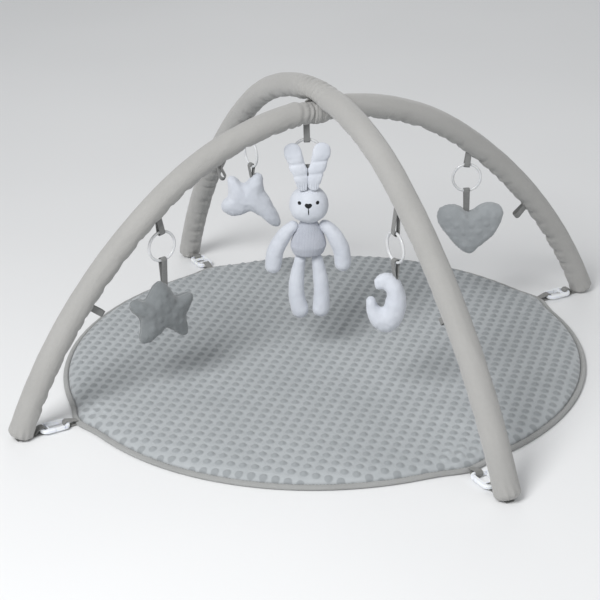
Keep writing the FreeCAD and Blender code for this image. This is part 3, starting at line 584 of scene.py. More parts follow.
def seam_pucker(distance, turn):
    """The sewn line on the inside of the curve, drawn up into notches, with puckers to each side."""
    from_seam = off_line(turn, INSIDE) * 2 * pi * TUBE_RADIUS
    wander = noise.noise(Vector((distance / 37, 5.2, 0.3)))
    waves = sin(2 * pi * distance / 11.5 + 5.0 * wander)
    spacing = distance / 33 + 0.9 * noise.noise(Vector((distance / 70, 1.1, 6.3)))
    notch = max(0.0, cos(2 * pi * spacing)) ** 4 * (4.6 + 2.6 * wander)
    return (1.2 * exp(-(from_seam / 2.4) ** 2) + notch * exp(-(from_seam / 15.0) ** 2)
            + (1.2 + 0.7 * wander) * waves * exp(-from_seam / 11.0))


def tube_relief(upper, distance, turn):
    """Everything that moves the cloth in from a plain round tube, in mm."""
    level, out = cos(2 * pi * turn), sin(2 * pi * turn)
    place = Vector((distance / 30, 2.2 * level, 2.2 * out + (7 if upper else 0)))
    sag = 0.55 * noise.noise(place) + 0.35 * noise.noise(place * 2.7)
    near = exp(-(distance / 60) ** 2)
    drag = near * 0.8 * noise.noise(Vector((distance / 9, 3.0 * level, 3.0 * out)))
    return (crossing_pinch(upper, distance, turn) + crossing_creases(upper, distance, turn)
            + seam_pucker(distance, turn) + sag + drag)


# %% Build the two tubes
FLOOR_GAP = 1.7                  # mm that the webbing lifts a foot
TUBE_END_X = 522.0               # mm from the middle to a tube's end
CREASED, FINE_STEP, STEP = 50, 1.5, 4.4      # sections lie closer within 50 mm of the crossing


def tube_stations(height):
    """Sections from foot to foot, closer together where the cloth is creased."""
    end = arch_angle(height, TUBE_END_X)
    reach = arch_length(height, end)
    crown, leg = arc_radii(height)
    angles, length = [], -reach
    while length < reach:
        size = abs(length)
        angles.append((1 if length > 0 else -1) * (
            size / crown if size < crown * CROWN_ANGLE
            else CROWN_ANGLE + (size - crown * CROWN_ANGLE) / leg))
        length += FINE_STEP if abs(length) < CREASED else STEP
    stations = []
    for angle in angles + [end]:
        centre, outward = arch_point(height, angle)
        stations.append((centre, Vector((0, 1, 0)), outward, TUBE_RADIUS, TUBE_RADIUS))
    return with_domes(stations, depth=9.0)


def make_tube(name):
    height, turn = ARCHES[name]
    upper = name == "upper"
    stations = tube_stations(height)
    bm = sweep(stations, 44)
    along, around = bm.verts.layers.float["along"], bm.verts.layers.float["around"]
    half = max(vert[along] for vert in bm.verts) / 2
    for vert in bm.verts:
        distance = vert[along] - half
        angle = max(-FOOT_ANGLE, min(FOOT_ANGLE, arch_angle(height, vert.co.x)))
        centre, outward = arch_point(height, angle)
        away = Vector((0, vert.co.y, 0)) + outward * (vert.co - centre).dot(outward)
        fade = min(1.0, away.length / 10) * min(1.0, max(0.0, (half - abs(distance) - 8) / 40))
        if away.length > 0.1:
            gathers = (1.3 * exp(-((half - abs(distance) - 6) / 15) ** 2)
                       * cos(22 * pi * vert[around] + distance / 9))
            moved = tube_relief(upper, distance, vert[around]) * fade + gathers * min(1.0, away.length / 16)
            vert.co -= away.normalized() * moved
        if vert.co.z < FLOOR_GAP:
            vert.co.z = FLOOR_GAP
    lay_uv(bm, 2 * pi * TUBE_RADIUS)
    spun(bm, turn)
    finish_piece(bm, name + "_tube_cloth", sleeve_cloth, name + "_arch",
                 (name + "_sleeve", name + "_foam"))


for name in ARCHES:
    make_tube(name)

# %% [markdown]
# A band of the same cloth passes under the lower tube and is sewn to the upper one. It
# is drawn up tight, so it shows as a few soft folds lying side by side.

# %% Gathered band at the crossing
folds = []
for index, across in enumerate((-9.5, -5.0, 0.5, 5.5, 10.0)):
    stations = []
    for step in range(27):
        turn = radians(38 - 256 * step / 26)
        outward = Vector((0, cos(turn), sin(turn)))
        wander = 1.3 * noise.noise(Vector((step / 5, index * 3.1, 0.7)))
        size = 19.9 + 0.5 * (index % 2)
        centre = outward * size + Vector((across * (0.8 + 0.2 * abs(cos(turn))) + wander, 0,
                                          ARCHES["lower"][0]))
        stations.append((centre, Vector((1, 0, 0)), outward, 3.6, 1.4 + 0.3 * (index % 2)))
    fold = sweep(with_domes(stations, depth=1.5), 14)
    lay_uv(fold, 18.0)
    folds.append(fold)
finish_piece(joined(folds), "crossing_gathered_band", sleeve_cloth, "upper_arch",
             ("crossing_band",))


# %% [markdown]
# ## The mat
# The mat is a round sheet of dotted plush over wadding, with a woven base, and a tape
# folded round its edge. The dots are embossed, so they are real relief here: a square
# grid of points is eased into a disc, and each point is lifted by its place in the
# nearest dot. An even grid keeps every dot the same shape, which rings of points don't.

# %% Height of the plush over the floor
MAT_RADIUS, PLUSH_RADIUS = 425.0, 415.9


def dot_relief(x, y):
    """Height of the embossed dots at a place on the mat, in mm."""
    across, up = (x - y) / sqrt(2) / DOT_PITCH, (x + y) / sqrt(2) / DOT_PITCH
    from_dot = hypot(across % 1.0 - 0.5, up % 1.0 - 0.5) * DOT_PITCH
    raised = 3.8 * (1 - min(1.0, from_dot / DOT_RADIUS) ** 2) ** 1.3
    pressed = 1.0 * exp(-((from_dot - DOT_RADIUS - 0.6) / 1.3) ** 2)
    return raised - pressed


def mat_height(x, y):
    out = hypot(x, y)
    roll_off = max(0.0, (out - 366.0) / (PLUSH_RADIUS - 366.0))
    level = 5.2 + 11.6 * sqrt(max(0.0, 1 - roll_off ** 2.4))
    slack = (1.0 * noise.noise(Vector((x / 95, y / 95, 3.1)))
             + 0.4 * noise.noise(Vector((x / 31, y / 31, 8.7))))
    pulled = noise.noise(Vector((x / 16, y / 16, 1.7))) * 1.1 * roll_off * (1 - roll_off) * 2
    fade = min(1.0, (1.02 - roll_off) * 3.0)
    return level + slack * (1 - 0.6 * roll_off) + pulled + dot_relief(x, y) * fade


def drawn_out(vert):
    """Pulls the edge into a soft corner at each of the four hook tabs."""
    out = hypot(vert.co.x, vert.co.y)
    from_tab = min(abs(vert.co.x), abs(vert.co.y))
    pull = 11.0 * exp(-(from_tab / 34) ** 2) * exp(-((MAT_RADIUS - out) / 34) ** 2)
    vert.co.x, vert.co.y = vert.co.x * (1 + pull / out), vert.co.y * (1 + pull / out)


# %% Build the plush top
bm = bmesh.new()
bmesh.ops.create_grid(bm, x_segments=336, y_segments=336, size=1.0)
rim = [edge for edge in bm.edges if edge.is_boundary]
for vert in bm.verts:
    x, y = vert.co.x, vert.co.y
    vert.co.x, vert.co.y = x * sqrt(1 - y * y / 2) * PLUSH_RADIUS, y * sqrt(1 - x * x / 2) * PLUSH_RADIUS
    vert.co.z = mat_height(vert.co.x, vert.co.y)
for level, size in ((3.2, 1.0), (1.3, 0.998), (1.3, 0.7), (1.3, 0.1)):
    new, rim = grown(bm, rim)
    for vert in new:
        out = hypot(vert.co.x, vert.co.y)
        vert.co *= PLUSH_RADIUS * size / out
        vert.co.z = level
bmesh.ops.contextual_create(bm, geom=rim)
for vert in bm.verts:
    if hypot(vert.co.x, vert.co.y) > 330:
        drawn_out(vert)
finish_piece(bm, "mat_dotted_top", dot_plush, "mat", ("mat_plush_top", "mat_padding"),
             smoothing=0)

# %% [markdown]
# The base cloth closes the underside. The edge tape is one section spun round the mat
# with a merged seam, then eased up and down a little, as hand-fed tape is. Its stitches
# are small separate beads of thread, so they catch the light like a real sewn line.


# %% Base cloth and edge tape
bm = bmesh.new()
bmesh.ops.create_circle(bm, segments=180, radius=415.8, cap_ends=True)
bmesh.ops.inset_region(bm, faces=bm.faces[:], thickness=8.0)
bmesh.ops.extrude_face_region(bm, geom=bm.faces[:])
half = len(bm.verts) // 2
bm.verts.ensure_lookup_table()
for vert in bm.verts[half:]:
    vert.co.z = 1.1
finish_piece(bm, "mat_underside", base_cloth, "mat", ("mat_base_cloth",), smoothing=0)

bm = bmesh.new()
section = [(416.2, 0.15), (421.6, 0.0), (424.3, 1.1), (425.0, 3.3), (424.1, 5.6), (421.4, 7.0),
           (418.0, 7.2), (416.2, 6.3)]
corners = [bm.verts.new((x, 0, z)) for x, z in section]
hoop = [bm.edges.new(pair) for pair in zip(corners, corners[1:] + corners[:1])]
bmesh.ops.spin(bm, geom=corners + hoop, cent=(0, 0, 0), axis=(0, 0, 1), angle=2 * pi, steps=420,
               use_merge=True)
for vert in bm.verts:
    turn = atan2(vert.co.y, vert.co.x)
    upper_part = vert.co.z / 7.0
    wander = 0.5 * noise.noise(Vector((cos(turn) * 9, sin(turn) * 9, 0)))
    pucker = 0.35 * sin(turn * 525) * upper_part + wander
    vert.co.z += pucker * upper_part
    drawn_out(vert)
finish_piece(bm, "mat_edge_tape", binding_tape, "mat", ("mat_edge_binding",))


# %% Stitches as beads of thread
def stitches(places, length, thick):
    """Small beads; each place is (middle, direction, outward), in mm."""
    bm = bmesh.new()
    for middle, ahead, outward in places:
        side = ahead.cross(outward).normalized()
        matrix = Matrix((ahead * length / 2, side * thick, outward * thick * 0.7)).transposed().to_4x4()
        matrix.translation = middle
        bmesh.ops.create_uvsphere(bm, u_segments=6, v_segments=4, radius=1.0, matrix=matrix)
    return bm


EDGE_STITCHES, STITCH_RADIUS, STITCH_Z = 520, 418.2, 7.25

places = []
for index in range(EDGE_STITCHES):
    turn = 2 * pi * index / EDGE_STITCHES
    radial = Vector((cos(turn), sin(turn), 0))
    places.append((radial * STITCH_RADIUS + Vector((0, 0, STITCH_Z)),
                   Vector((-sin(turn), cos(turn), 0)), Vector((0, 0, 1))))
bm = stitches(places, 3.4, 0.42)
for vert in bm.verts:
    drawn_out(vert)
finish_piece(bm, "mat_edge_stitches", stitch_thread, "mat", smoothing=0)


# %% [markdown]
# ## Webbing
# Straps and loops are flat tape. A tape is the same swept ring, squared off, along a
# path whose corners are rounded. Simulation would be wasted here: short webbing is stiff
# and keeps the path it is sewn in.


# %% A rounded path and a tape along it
def rounded_path(points, bends, step=1.6):
    """Points along straight runs whose inner corners are eased by the given reach, in mm."""
    path = [Vector(points[0])]
    for index, bend in enumerate(bends):
        before, corner, after = (Vector(point) for point in points[index:index + 3])
        start = corner + (before - corner).normalized() * min(bend, (before - corner).length * 0.5)
        end = corner + (after - corner).normalized() * min(bend, (after - corner).length * 0.5)
        path.append(start)
        for share in (0.2, 0.4, 0.6, 0.8):
            path.append(start.lerp(corner, share).lerp(corner.lerp(end, share), share))
        path.append(end)
    path.append(Vector(points[-1]))
    fine = [path[0]]
    for first, second in zip(path, path[1:]):
        pieces = max(1, int((second - first).length / step))
        fine += [first.lerp(second, (k + 1) / pieces) for k in range(pieces)]
    return fine


def tape(path, side, width, thick):
    """Webbing along a path; side is the direction of its width."""
    stations = []
    for index, point in enumerate(path):
        ahead = (path[min(index + 1, len(path) - 1)] - path[max(index - 1, 0)]).normalized()
        up = ahead.cross(side).normalized()
        stations.append((point, up.cross(ahead).normalized(), up, width / 2, thick / 2))
    bm = sweep(stations, 16, power=0.4)
    lay_uv(bm, 2 * width)
    return bm


# %% [markdown]
# Each foot has a strap sewn under its end. It lies on the floor and turns up round the eye
# of a snap hook. A tab from the mat's edge holds the hook's other end. Both wrap the
# hook's bars with some ease, so the hook can tilt.

# %% Foot straps and mat tabs
CLIP_Z = 6.1
EYE_X, NOSE_X = 490.0, 449.0      # bars of the snap hook
FOOT_TURNS = (0.0, 90.0, 180.0, -90.0)


def foot_strap():
    wrap, level = 5.4, 0.75
    points = [(531.0, 0, level), (EYE_X - wrap, 0, level), (EYE_X - wrap, 0, CLIP_Z + wrap),
              (EYE_X + 4, 0, CLIP_Z + wrap), (EYE_X + 11.5, 0, 2.6)]
    return tape(rounded_path(points, [5, 5, 5]), Vector((0, 1, 0)), 14.0, 1.3)


for name, (_, turn) in ARCHES.items():
    pair = [spun(foot_strap(), turn), spun(foot_strap(), turn + 180)]
    finish_piece(joined(pair), name + "_foot_webbing", grey_webbing, name + "_arch",
                 (name + "_foot_straps",))

wrap = 5.3
around_nose = [(NOSE_X + wrap * sin(radians(a)), 0, CLIP_Z - wrap * cos(radians(a)))
               for a in range(0, 181, 15)]
tab_path = [(423.0, 0, 2.9)] + around_nose + [(423.0, 0, 4.3)]
tabs = [spun(tape([Vector(point) for point in tab_path], Vector((0, 1, 0)), 12.0, 1.2), turn)
        for turn in FOOT_TURNS]
finish_piece(joined(tabs), "mat_hook_tabs", grey_webbing, "mat", ("mat_tabs",))

# %% Rows of stitches across the foot straps
for name, (_, turn) in ARCHES.items():
    places = []
    for end in (0, 180):
        rotate = Matrix.Rotation(radians(turn + end), 3, "Z")
        for row in (EYE_X - 2.0, EYE_X + 2.5):
            for across in range(-2, 3):
                places.append((rotate @ Vector((row, across * 2.5, CLIP_Z + 6.1)),
                               rotate @ Vector((0, 1, 0)), Vector((0, 0, 1))))
    finish_piece(stitches(places, 1.9, 0.35), name + "_foot_stitches", stitch_thread, name + "_arch",
                 smoothing=0)

# %% [markdown]
# ## Loops that carry the toys
# Every toy hangs the same way: a loop of tape from the sleeve, a smooth ring, and the
# toy's own loop turned round the bottom of the ring. Each loop faces the way its ring
# does. Empty loops on the legs wait for more toys.

# %% Where the toys hang
RING_RADIUS, BIGHT_RADIUS = 23.0, 4.6
TOYS = {
    "star": dict(arch="lower", along=-273.0, ring_z=259.0, ring_turn=10.0, toy_turn=5.0, lean=-8.0),
    "heart": dict(arch="lower", along=276.5, ring_z=260.5, ring_turn=-25.0, toy_turn=-25.0, lean=8.0),
    "rabbit": dict(arch="lower", along=-20.0, ring_z=358.5, ring_turn=RABBIT_TURN, toy_turn=RABBIT_TURN,
                   lean=0.0),
    "white_star": dict(arch="upper", along=-240.0, ring_z=286.0, ring_turn=0.0, toy_turn=62.0, lean=0.0),
    "moon": dict(arch="upper", along=228.0, ring_z=276.0, ring_turn=0.0, toy_turn=62.0, lean=8.0),
}
SPARE_LOOPS = {"lower": (-408.0, 408.0), "upper": (-385.0, 385.0)}


def loop_path(length, radius, root_half):
    """From one root down round the bight at the origin and up to the other root, in the YZ plane."""
    reach = hypot(root_half, length)
    lean = acos(radius / reach) + atan2(root_half, length)
    side = Vector((0, radius * sin(lean), radius * cos(lean)))
    start = atan2(side.z, side.y)
    turns = [start - (pi + 2 * start) * k / 12 for k in range(13)]
    bight = [Vector((0, radius * cos(t), radius * sin(t))) for t in turns]
    right = [Vector((0, root_half, length)).lerp(bight[0], k / 10) for k in range(10)]
    left = [bight[-1].lerp(Vector((0, -root_half, length)), (k + 1) / 10) for k in range(10)]
    return right + bight + left


def loop_of_tape(length, radius=BIGHT_RADIUS, root_half=1.0):
    return tape(loop_path(length, radius, root_half), Vector((1, 0, 0)), 10.0, 1.1)


def hung(bm, toy, turn_name, z=0.0):
    """Puts a shape made about its hang line, facing -Y, at its place under an arch."""
    spun(bm, toy[turn_name])
    shifted(bm, (toy["along"], 0, z))
    return spun(bm, ARCHES[toy["arch"]][1])


# %% Loops from the sleeves
for name, (height, turn) in ARCHES.items():
    loops = []
    for toy in (t for t in TOYS.values() if t["arch"] == name):
        angle = arch_angle(height, toy["along"])
        centre = arch_point(height, angle)[0]
        top = toy["ring_z"] + RING_RADIUS
        bm = loop_of_tape(centre.z - TUBE_RADIUS / cos(angle) + 7.0 - top)
        loops.append(hung(spun(bm, toy["lean"], "Y"), toy, "ring_turn", z=top))
    for along in SPARE_LOOPS[name]:
        angle = arch_angle(height, along)
        centre, outward = arch_point(height, angle)
        bm = shifted(loop_of_tape(24.0, radius=5.0, root_half=3.0), (0, 0, -18.0))
        bmesh.ops.rotate(bm, cent=(0, 0, 0), matrix=Matrix.Rotation(angle, 3, "Y"), verts=bm.verts)
        loops.append(spun(shifted(bm, centre - outward * TUBE_RADIUS), turn))
    finish_piece(joined(loops), name + "_sewn_loops", toy_webbing, name + "_arch",
                 (name + "_toy_loops",))

# %% [markdown]
# ## Stuffing a toy
# A plush toy is two shaped panels sewn at the edge, turned out and stuffed. The same is
# done here: the outline is drawn as a circle whose points are pulled to the panel's edge,
# the panels are crowned a little, and a cloth simulation with air pressure inside fills
# them. That gives the tight middle and the slack creases near the corners that stuffing
# makes. The swollen shape is then brought back to its cut size, and the seam is drawn in.


# %% An outline from a few points round it
def eased(a, b, c, d, share):
    """A point part of the way from b to c, on a curve that heeds their neighbours."""
    return b + 0.5 * share * (c - a + share * (2 * a - 5 * b + 4 * c - d + share * (3 * (b - c) + d - a)))


def outline_radius(points):
    """A smooth radius for each direction, through points round the middle, in mm."""
    known = sorted((atan2(z, x) % (2 * pi), hypot(x, z)) for x, z in points)
    count = len(known)

    def radius(turn):
        turn %= 2 * pi
        index = max((k for k in range(count) if known[k][0] <= turn), default=count - 1)
        values = [known[(index + k) % count][1] for k in (-1, 0, 1, 2)]
        start, end = known[index][0], known[(index + 1) % count][0]
        share = ((turn - start) % (2 * pi)) / ((end - start) % (2 * pi))
        return eased(*values, share)

    return radius


def panels(radius, depth):
    """Two crowned panels that meet at a seam in the XZ plane."""
    bm = bmesh.new()
    rim = bmesh.ops.create_circle(bm, segments=110, radius=1.0)["verts"]
    spun(bm, 90, "X")
    for vert in rim:
        size = radius(atan2(vert.co.z, vert.co.x))
        vert.co *= size / vert.co.length
    seam = bm.edges[:]
    for front in (-1, 1):
        edges = seam
        for inward, crown in ((0.93, 0.45), (0.8, 0.75), (0.6, 0.92), (0.3, 1.0)):
            new, edges = grown(bm, edges)
            for vert in new:
                size = radius(atan2(vert.co.z, vert.co.x)) * inward
                flat = Vector((vert.co.x, 0, vert.co.z)).normalized() * size
                vert.co = Vector((flat.x, front * depth / 2 * crown, flat.z))
        bmesh.ops.contextual_create(bm, geom=edges)
    return bm


# %% Fill it: remesh, blow up as cloth, cap the movement
PRESSURE, FILLING_STEPS = 4.0, 20


def stuffed(bm, cap, voxel=2.6):
    """The shape after stuffing, in mm; no point moves further than the cap."""
    bmesh.ops.recalc_face_normals(bm, faces=bm.faces)
    body = as_object(resized(bm, 0.001), "filling")
    remesh = body.modifiers.new("voxels", "REMESH")
    remesh.mode, remesh.voxel_size = "VOXEL", voxel / 1000

    def evaluated():
        return bpy.data.meshes.new_from_object(body.evaluated_get(bpy.context.evaluated_depsgraph_get()))

    even = evaluated()
    body.modifiers.clear()
    body.data = even
    cloth = body.modifiers.new("cloth", "CLOTH")
    cloth.settings.use_pressure = True
    cloth.settings.uniform_pressure_force = PRESSURE
    cloth.settings.effector_weights.gravity = 0
    cloth.settings.tension_stiffness = cloth.settings.compression_stiffness = 25
    cloth.settings.bending_stiffness = 0.3
    cloth.point_cache.frame_end = FILLING_STEPS
    for step in range(1, FILLING_STEPS + 1):
        bpy.context.scene.frame_set(step)
    swollen = evaluated()
    for vert, goal in zip(even.vertices, swollen.vertices):
        move = goal.co - vert.co
        vert.co += move * min(1.0, cap / 1000 / max(move.length, 1e-9))
    body.modifiers.clear()
    filled = bmesh.new()
    filled.from_mesh(even)
    bpy.data.objects.remove(body)
    return resized(filled, 1000)


def cut_to_size(bm, low, high):
    """Brings the filled shape back to its cut width, depth and height, in mm."""
    for axis in range(3):
        values = [vert.co[axis] for vert in bm.verts]
        least, most = min(values), max(values)
        scale = (high[axis] - low[axis]) / (most - least)
        for vert in bm.verts:
            vert.co[axis] = low[axis] + (vert.co[axis] - least) * scale
    return bm


def relieved(bm, relief):
    """Refines the shape and moves each point in or out along its normal, in mm."""
    bmesh.ops.subdivide_edges(bm, edges=bm.edges, cuts=1, use_grid_fill=True)
    bmesh.ops.smooth_vert(bm, verts=bm.verts, factor=0.5, use_axis_x=True, use_axis_y=True, use_axis_z=True)
    bm.normal_update()
    moves = [vert.normal * relief(vert.co, vert.normal) for vert in bm.verts]
    for vert, move in zip(bm.verts, moves):
        vert.co += move
    return bm


SEAM_DEPTH, SEAM_WIDTH, SEAM_PUCKER = 1.5, 1.6, 0.5       # mm
TOY_DOT_SPACING = 25.7                                    # mm between dots along a diagonal


def seam_in(bm, dots=0.0):
    """Draws the edge seam in, with small puckers along it, and raises the plush's soft dots."""
    def relief(place, normal):
        near = exp(-(place.y / SEAM_WIDTH) ** 2)
        beside = exp(-(place.y / (3.5 * SEAM_WIDTH)) ** 2) * (1 - near)
        ripple = sin(atan2(place.z, place.x) * 46 + 4 * noise.noise(place / 14)) * SEAM_PUCKER
        lump = 0.9 * noise.noise(place / 17) + 0.5 * noise.noise(place / 7)
        u = (place.x - place.z) / TOY_DOT_SPACING % 1.0 - 0.5
        v = (place.x + place.z) / TOY_DOT_SPACING % 1.0 - 0.5
        dot = dots * max(0.0, 1 - (u * u + v * v) / 0.11) * abs(normal.y)
        return lump + dot - (1 - abs(normal.y)) * (near * SEAM_DEPTH - beside * ripple)

    return relieved(bm, relief)


# %% [markdown]
# ## Two stars and a heart
# The stars have blunt, rounded arms. The grey one hangs straight from its top arm. The
# white one hangs by a side arm, so one long arm points down. The heart is wide, with a
# shallow dip at the top and a blunt point.

# %% Outlines in each toy's own plane, in mm about its middle
STAR_OUTLINE = [
    (48.1, 3.4), (53.3, 16.1), (51.0, 23.6), (39.5, 25.0), (26.6, 25.3), (19.4, 34.0), (9.3, 47.6),
    (-1.3, 55.7), (-10.8, 51.1), (-20.8, 40.9), (-29.5, 32.7), (-41.0, 35.5), (-51.0, 34.3),
    (-55.9, 27.1), (-53.0, 16.7), (-46.7, 9.6), (-41.5, 0.0), (-41.0, -16.9), (-43.3, -33.0),
    (-41.0, -38.6), (-32.3, -40.7), (-18.0, -33.6), (-0.7, -25.2), (13.6, -31.5), (28.0, -42.5),
    (38.0, -44.9), (40.9, -36.7), (40.4, -19.8), (41.8, -6.2)]
WHITE_STAR_OUTLINE = [
    (44.7, -15.5), (33.1, 9.3), (30.3, 24.8), (28.8, 37.2), (23.1, 42.8), (11.5, 40.3), (5.8, 34.1),
    (-1.4, 27.3), (-10.1, 27.9), (-20.2, 37.2), (-28.8, 38.4), (-33.1, 34.1), (-33.1, 15.5),
    (-36.0, 0.0), (-44.7, -9.3), (-44.7, -21.7), (-34.6, -31.0), (-20.2, -33.5), (-2.9, -28.5),
    (8.6, -27.3), (25.9, -37.2), (41.8, -52.7), (50.4, -56.4), (57.6, -49.6), (54.8, -37.2)]
HEART_OUTLINE = [
    (-4.7, 35.4), (-16.4, 42.1), (-32.0, 45.3), (-45.0, 42.1), (-54.0, 34.0), (-56.0, 23.2),
    (-50.3, 7.0), (-37.2, -11.9), (-21.6, -30.8), (-9.9, -41.6), (-1.3, -44.8), (7.0, -41.6),
    (13.5, -34.0), (30.5, -21.3), (44.8, -3.8), (52.6, 15.1), (56.0, 25.9), (50.0, 38.1),
    (38.3, 44.8), (22.7, 44.8), (9.6, 39.4)]


CUT_SMALLER, CUT_FLATTER = 0.97, 0.8       # the panels are cut small, for the stuffing to swell


def flat_toy(name, points, middle, depth, plush_finish, dots=0.0):
    """A toy of two panels, hung under its ring."""
    radius = outline_radius(points)
    widths, heights = zip(*points)
    bm = stuffed(panels(lambda turn: radius(turn) * CUT_SMALLER, depth * CUT_FLATTER), cap=3.5)
    low = (min(widths), -depth / 2, min(heights))
    high = (max(widths), depth / 2, max(heights))
    bm = shifted(seam_in(cut_to_size(bm, low, high), dots=dots), (middle[0], 0, middle[1]))
    hung(bm, TOYS[name], "toy_turn")
    finish_piece(bm, name + "_plush_body", plush_finish, name + "_toy",
                 (name + "_plush", name + "_stuffing"))


flat_toy("star", STAR_OUTLINE, (-6.0, 148.0), 36.0, dark_grey_plush, dots=1.4)
flat_toy("white_star", WHITE_STAR_OUTLINE, (-10.4, 207.5), 40.0, white_plush)
flat_toy("heart", HEART_OUTLINE, (6.5, 170.1), 38.0, grey_plush, dots=1.4)

# %% [markdown]
# ## The moon
# The moon is a fat crescent: a limb bent round most of a circle, thick in the middle
# and small at its horns. A swept ring makes it, and the same stuffing fills it.


# %% Moon
MOON_SECTIONS = [(118, 10.5), (76, 15.0), (34, 22.0), (-8, 27.5), (-47, 26.0), (-87, 21.0), (-133, 18.0),
                 (-176, 13.5)]
stations = []
for (first, size), (second, following) in zip(MOON_SECTIONS, MOON_SECTIONS[1:] + MOON_SECTIONS[-1:]):
    for share in (0.0, 0.33, 0.67) if second < first else (0.0,):
        turn, thick = radians(first + (second - first) * share), size + (following - size) * share
        outward = Vector((cos(turn), 0, sin(turn)))
        stations.append((outward * 32.0, outward, Vector((0, 1, 0)), thick, thick))
bm = sweep(with_domes(stations, depth=9.0), 30)
bmesh.ops.scale(bm, vec=(0.6, 0.68, 1.0), verts=bm.verts)
bm = seam_in(cut_to_size(stuffed(bm, cap=3.0), (-25.5, -18.0, -50.0), (34.5, 18.0, 45.0)))
hung(shifted(bm, (-18.6, 0, 190.4)), TOYS["moon"], "toy_turn")
finish_piece(bm, "moon_plush_body", white_plush, "moon_toy", ("moon_plush", "moon_stuffing"))

# %% Each toy's own loop, round the bottom of its ring
for name, bottom in (("star", 188.0), ("heart", 201.0), ("rabbit", 298.0), ("white_star", 240.0),
                     ("moon", 222.0)):
    toy = TOYS[name]
    ring_bottom = toy["ring_z"] - RING_RADIUS
    bm = hung(spun(loop_of_tape(ring_bottom - bottom), 180, "X"), toy, "ring_turn", z=ring_bottom)
    finish_piece(bm, name + "_sewn_strap", toy_webbing, name + "_toy", (name + "_strap",))

# %% [markdown]
# ## The rabbit
# The rabbit has a round head, a small pear-shaped body of ribbed knit, and soft limbs
# and ears that are sewn on and swing. Each part is stuffed on its own, because each one
# moves on its own. The ears are flat pads with two creases across them.


# %% Soft limbs and ears
def limb_stations(points, flatten=1.0):
    """Sections through (x, y, z, radius) points, eased between them, flat side to the front."""
    fine = []
    count = len(points)
    for index in range(count - 1):
        near = [Vector(points[max(0, min(count - 1, index + k))]) for k in (-1, 0, 1, 2)]
        fine += [eased(*near, share) for share in (0.0, 0.25, 0.5, 0.75)]
    fine.append(Vector(points[-1]))
    stations = []
    for index, point in enumerate(fine):
        ahead = (fine[min(index + 1, len(fine) - 1)] - fine[max(index - 1, 0)]).xyz.normalized()
        side = Vector((0, 1, 0)).cross(ahead).normalized()
        stations.append((point.xyz, side, ahead.cross(side), point.w, point.w * flatten))
    return with_domes(stations)


def soft_part(bm, cap=3.0):
    """Stuffs a rabbit part and keeps it in the space that it was drawn in."""
    bounds = [[pick(vert.co[axis] for vert in bm.verts) for axis in range(3)] for pick in (min, max)]
    return cut_to_size(stuffed(bm, voxel=2.4, cap=cap), *bounds)


def lumpy(place):
    return 0.7 * noise.noise(place / 15) + 0.4 * noise.noise(place / 6)


# %% Head and body
RABBIT = TOYS["rabbit"]
DRIFT, CHIN_Z = 0.042, 262.0      # sideways mm for each mm below the chin


def ball(middle, radii):
    bm = bmesh.new()
    bmesh.ops.create_icosphere(bm, subdivisions=4, radius=1.0)
    bmesh.ops.scale(bm, vec=radii, verts=bm.verts)
    return shifted(bm, middle)


def slanting(bm):
    """The rabbit hangs a little askew: everything below its chin drifts to one side."""
    for vert in bm.verts:
        vert.co.x -= DRIFT * max(0.0, CHIN_Z - vert.co.z)
    return bm


def head_relief(place, normal):
    """A seam down the middle of the back, fuller cheeks, and a gather under the chin."""
    x, z = place.x - 0.2, place.z - 274.5
    cheeks = 1.3 * exp(-((abs(x) - 20) / 10) ** 2 - ((z + 12) / 12) ** 2) * (place.y < 0)
    back_seam = -1.2 * exp(-(x / 1.6) ** 2) * (place.y > 3)
    chin = -1.0 * exp(-((z + 28) / 4) ** 2) * (0.5 + 0.5 * sin(atan2(place.y, x) * 14))
    narrow = -2.6 * max(0.0, -z / 31) ** 2 * abs(normal.x)
    return cheeks + back_seam + chin + narrow + 0.6 * lumpy(place)


def body_relief(place, normal):
    """Ribs of the knit run down the body, pulled together at the neck and the seat."""
    turn = atan2(place.y / 0.82, place.x)
    ends = min(1.0, (243 - place.z) / 8, (place.z - 190) / 8)
    return 0.32 * max(0.0, ends) * cos(turn * 58) + 0.5 * lumpy(place)


bm = relieved(soft_part(ball((0.2, 0, 274.5), (30.8, 27.0, 31.3))), head_relief)
head_faces = bm.copy()
finish_piece(hung(bm, RABBIT, "toy_turn"), "rabbit_head_plush", white_plush, "rabbit_toy",
             ("rabbit_head", "rabbit_stuffing"))

pear = [(243.0, 15.0), (231.0, 20.5), (218.0, 26.0), (206.0, 28.5), (194.0, 24.5)]      # height, radius
bm = soft_part(sweep(with_domes([(Vector((0, 0, z)), Vector((1, 0, 0)), Vector((0, -1, 0)), r, r * 0.82)
                                 for z, r in pear], depth=6.0), 40))
finish_piece(hung(slanting(relieved(bm, body_relief)), RABBIT, "toy_turn"), "rabbit_body_knit", white_knit,
             "rabbit_toy", ("rabbit_body",))


# %% Ears, arms and legs
def ear_relief(place, normal):
    """Soft folds across the front, puffed between them, and a gather at the root."""
    lean = 0.25 * noise.noise(place / 9)
    folds = sum(-depth * exp(-((place.z - level - 0.1 * place.x) / (2.6 + lean)) ** 2)
                for level, depth in ((329.0, 0.9), (348.0, 1.3)))
    puffs = sum(0.9 * exp(-((place.z - level) / 6.0) ** 2) for level in (320.0, 338.0, 360.0))
    gather = 0.9 * exp(-((place.z - 309.0) / 6.0) ** 2) * sin(place.x * 1.7)
    return (folds + puffs) * (place.y < -13) + gather + 0.6 * lumpy(place)


def limb_relief(place, normal):
    seam = -0.9 * exp(-((place.y - 1.0) / 1.4) ** 2) * (1 - abs(normal.y))
    return seam + 0.8 * lumpy(place)


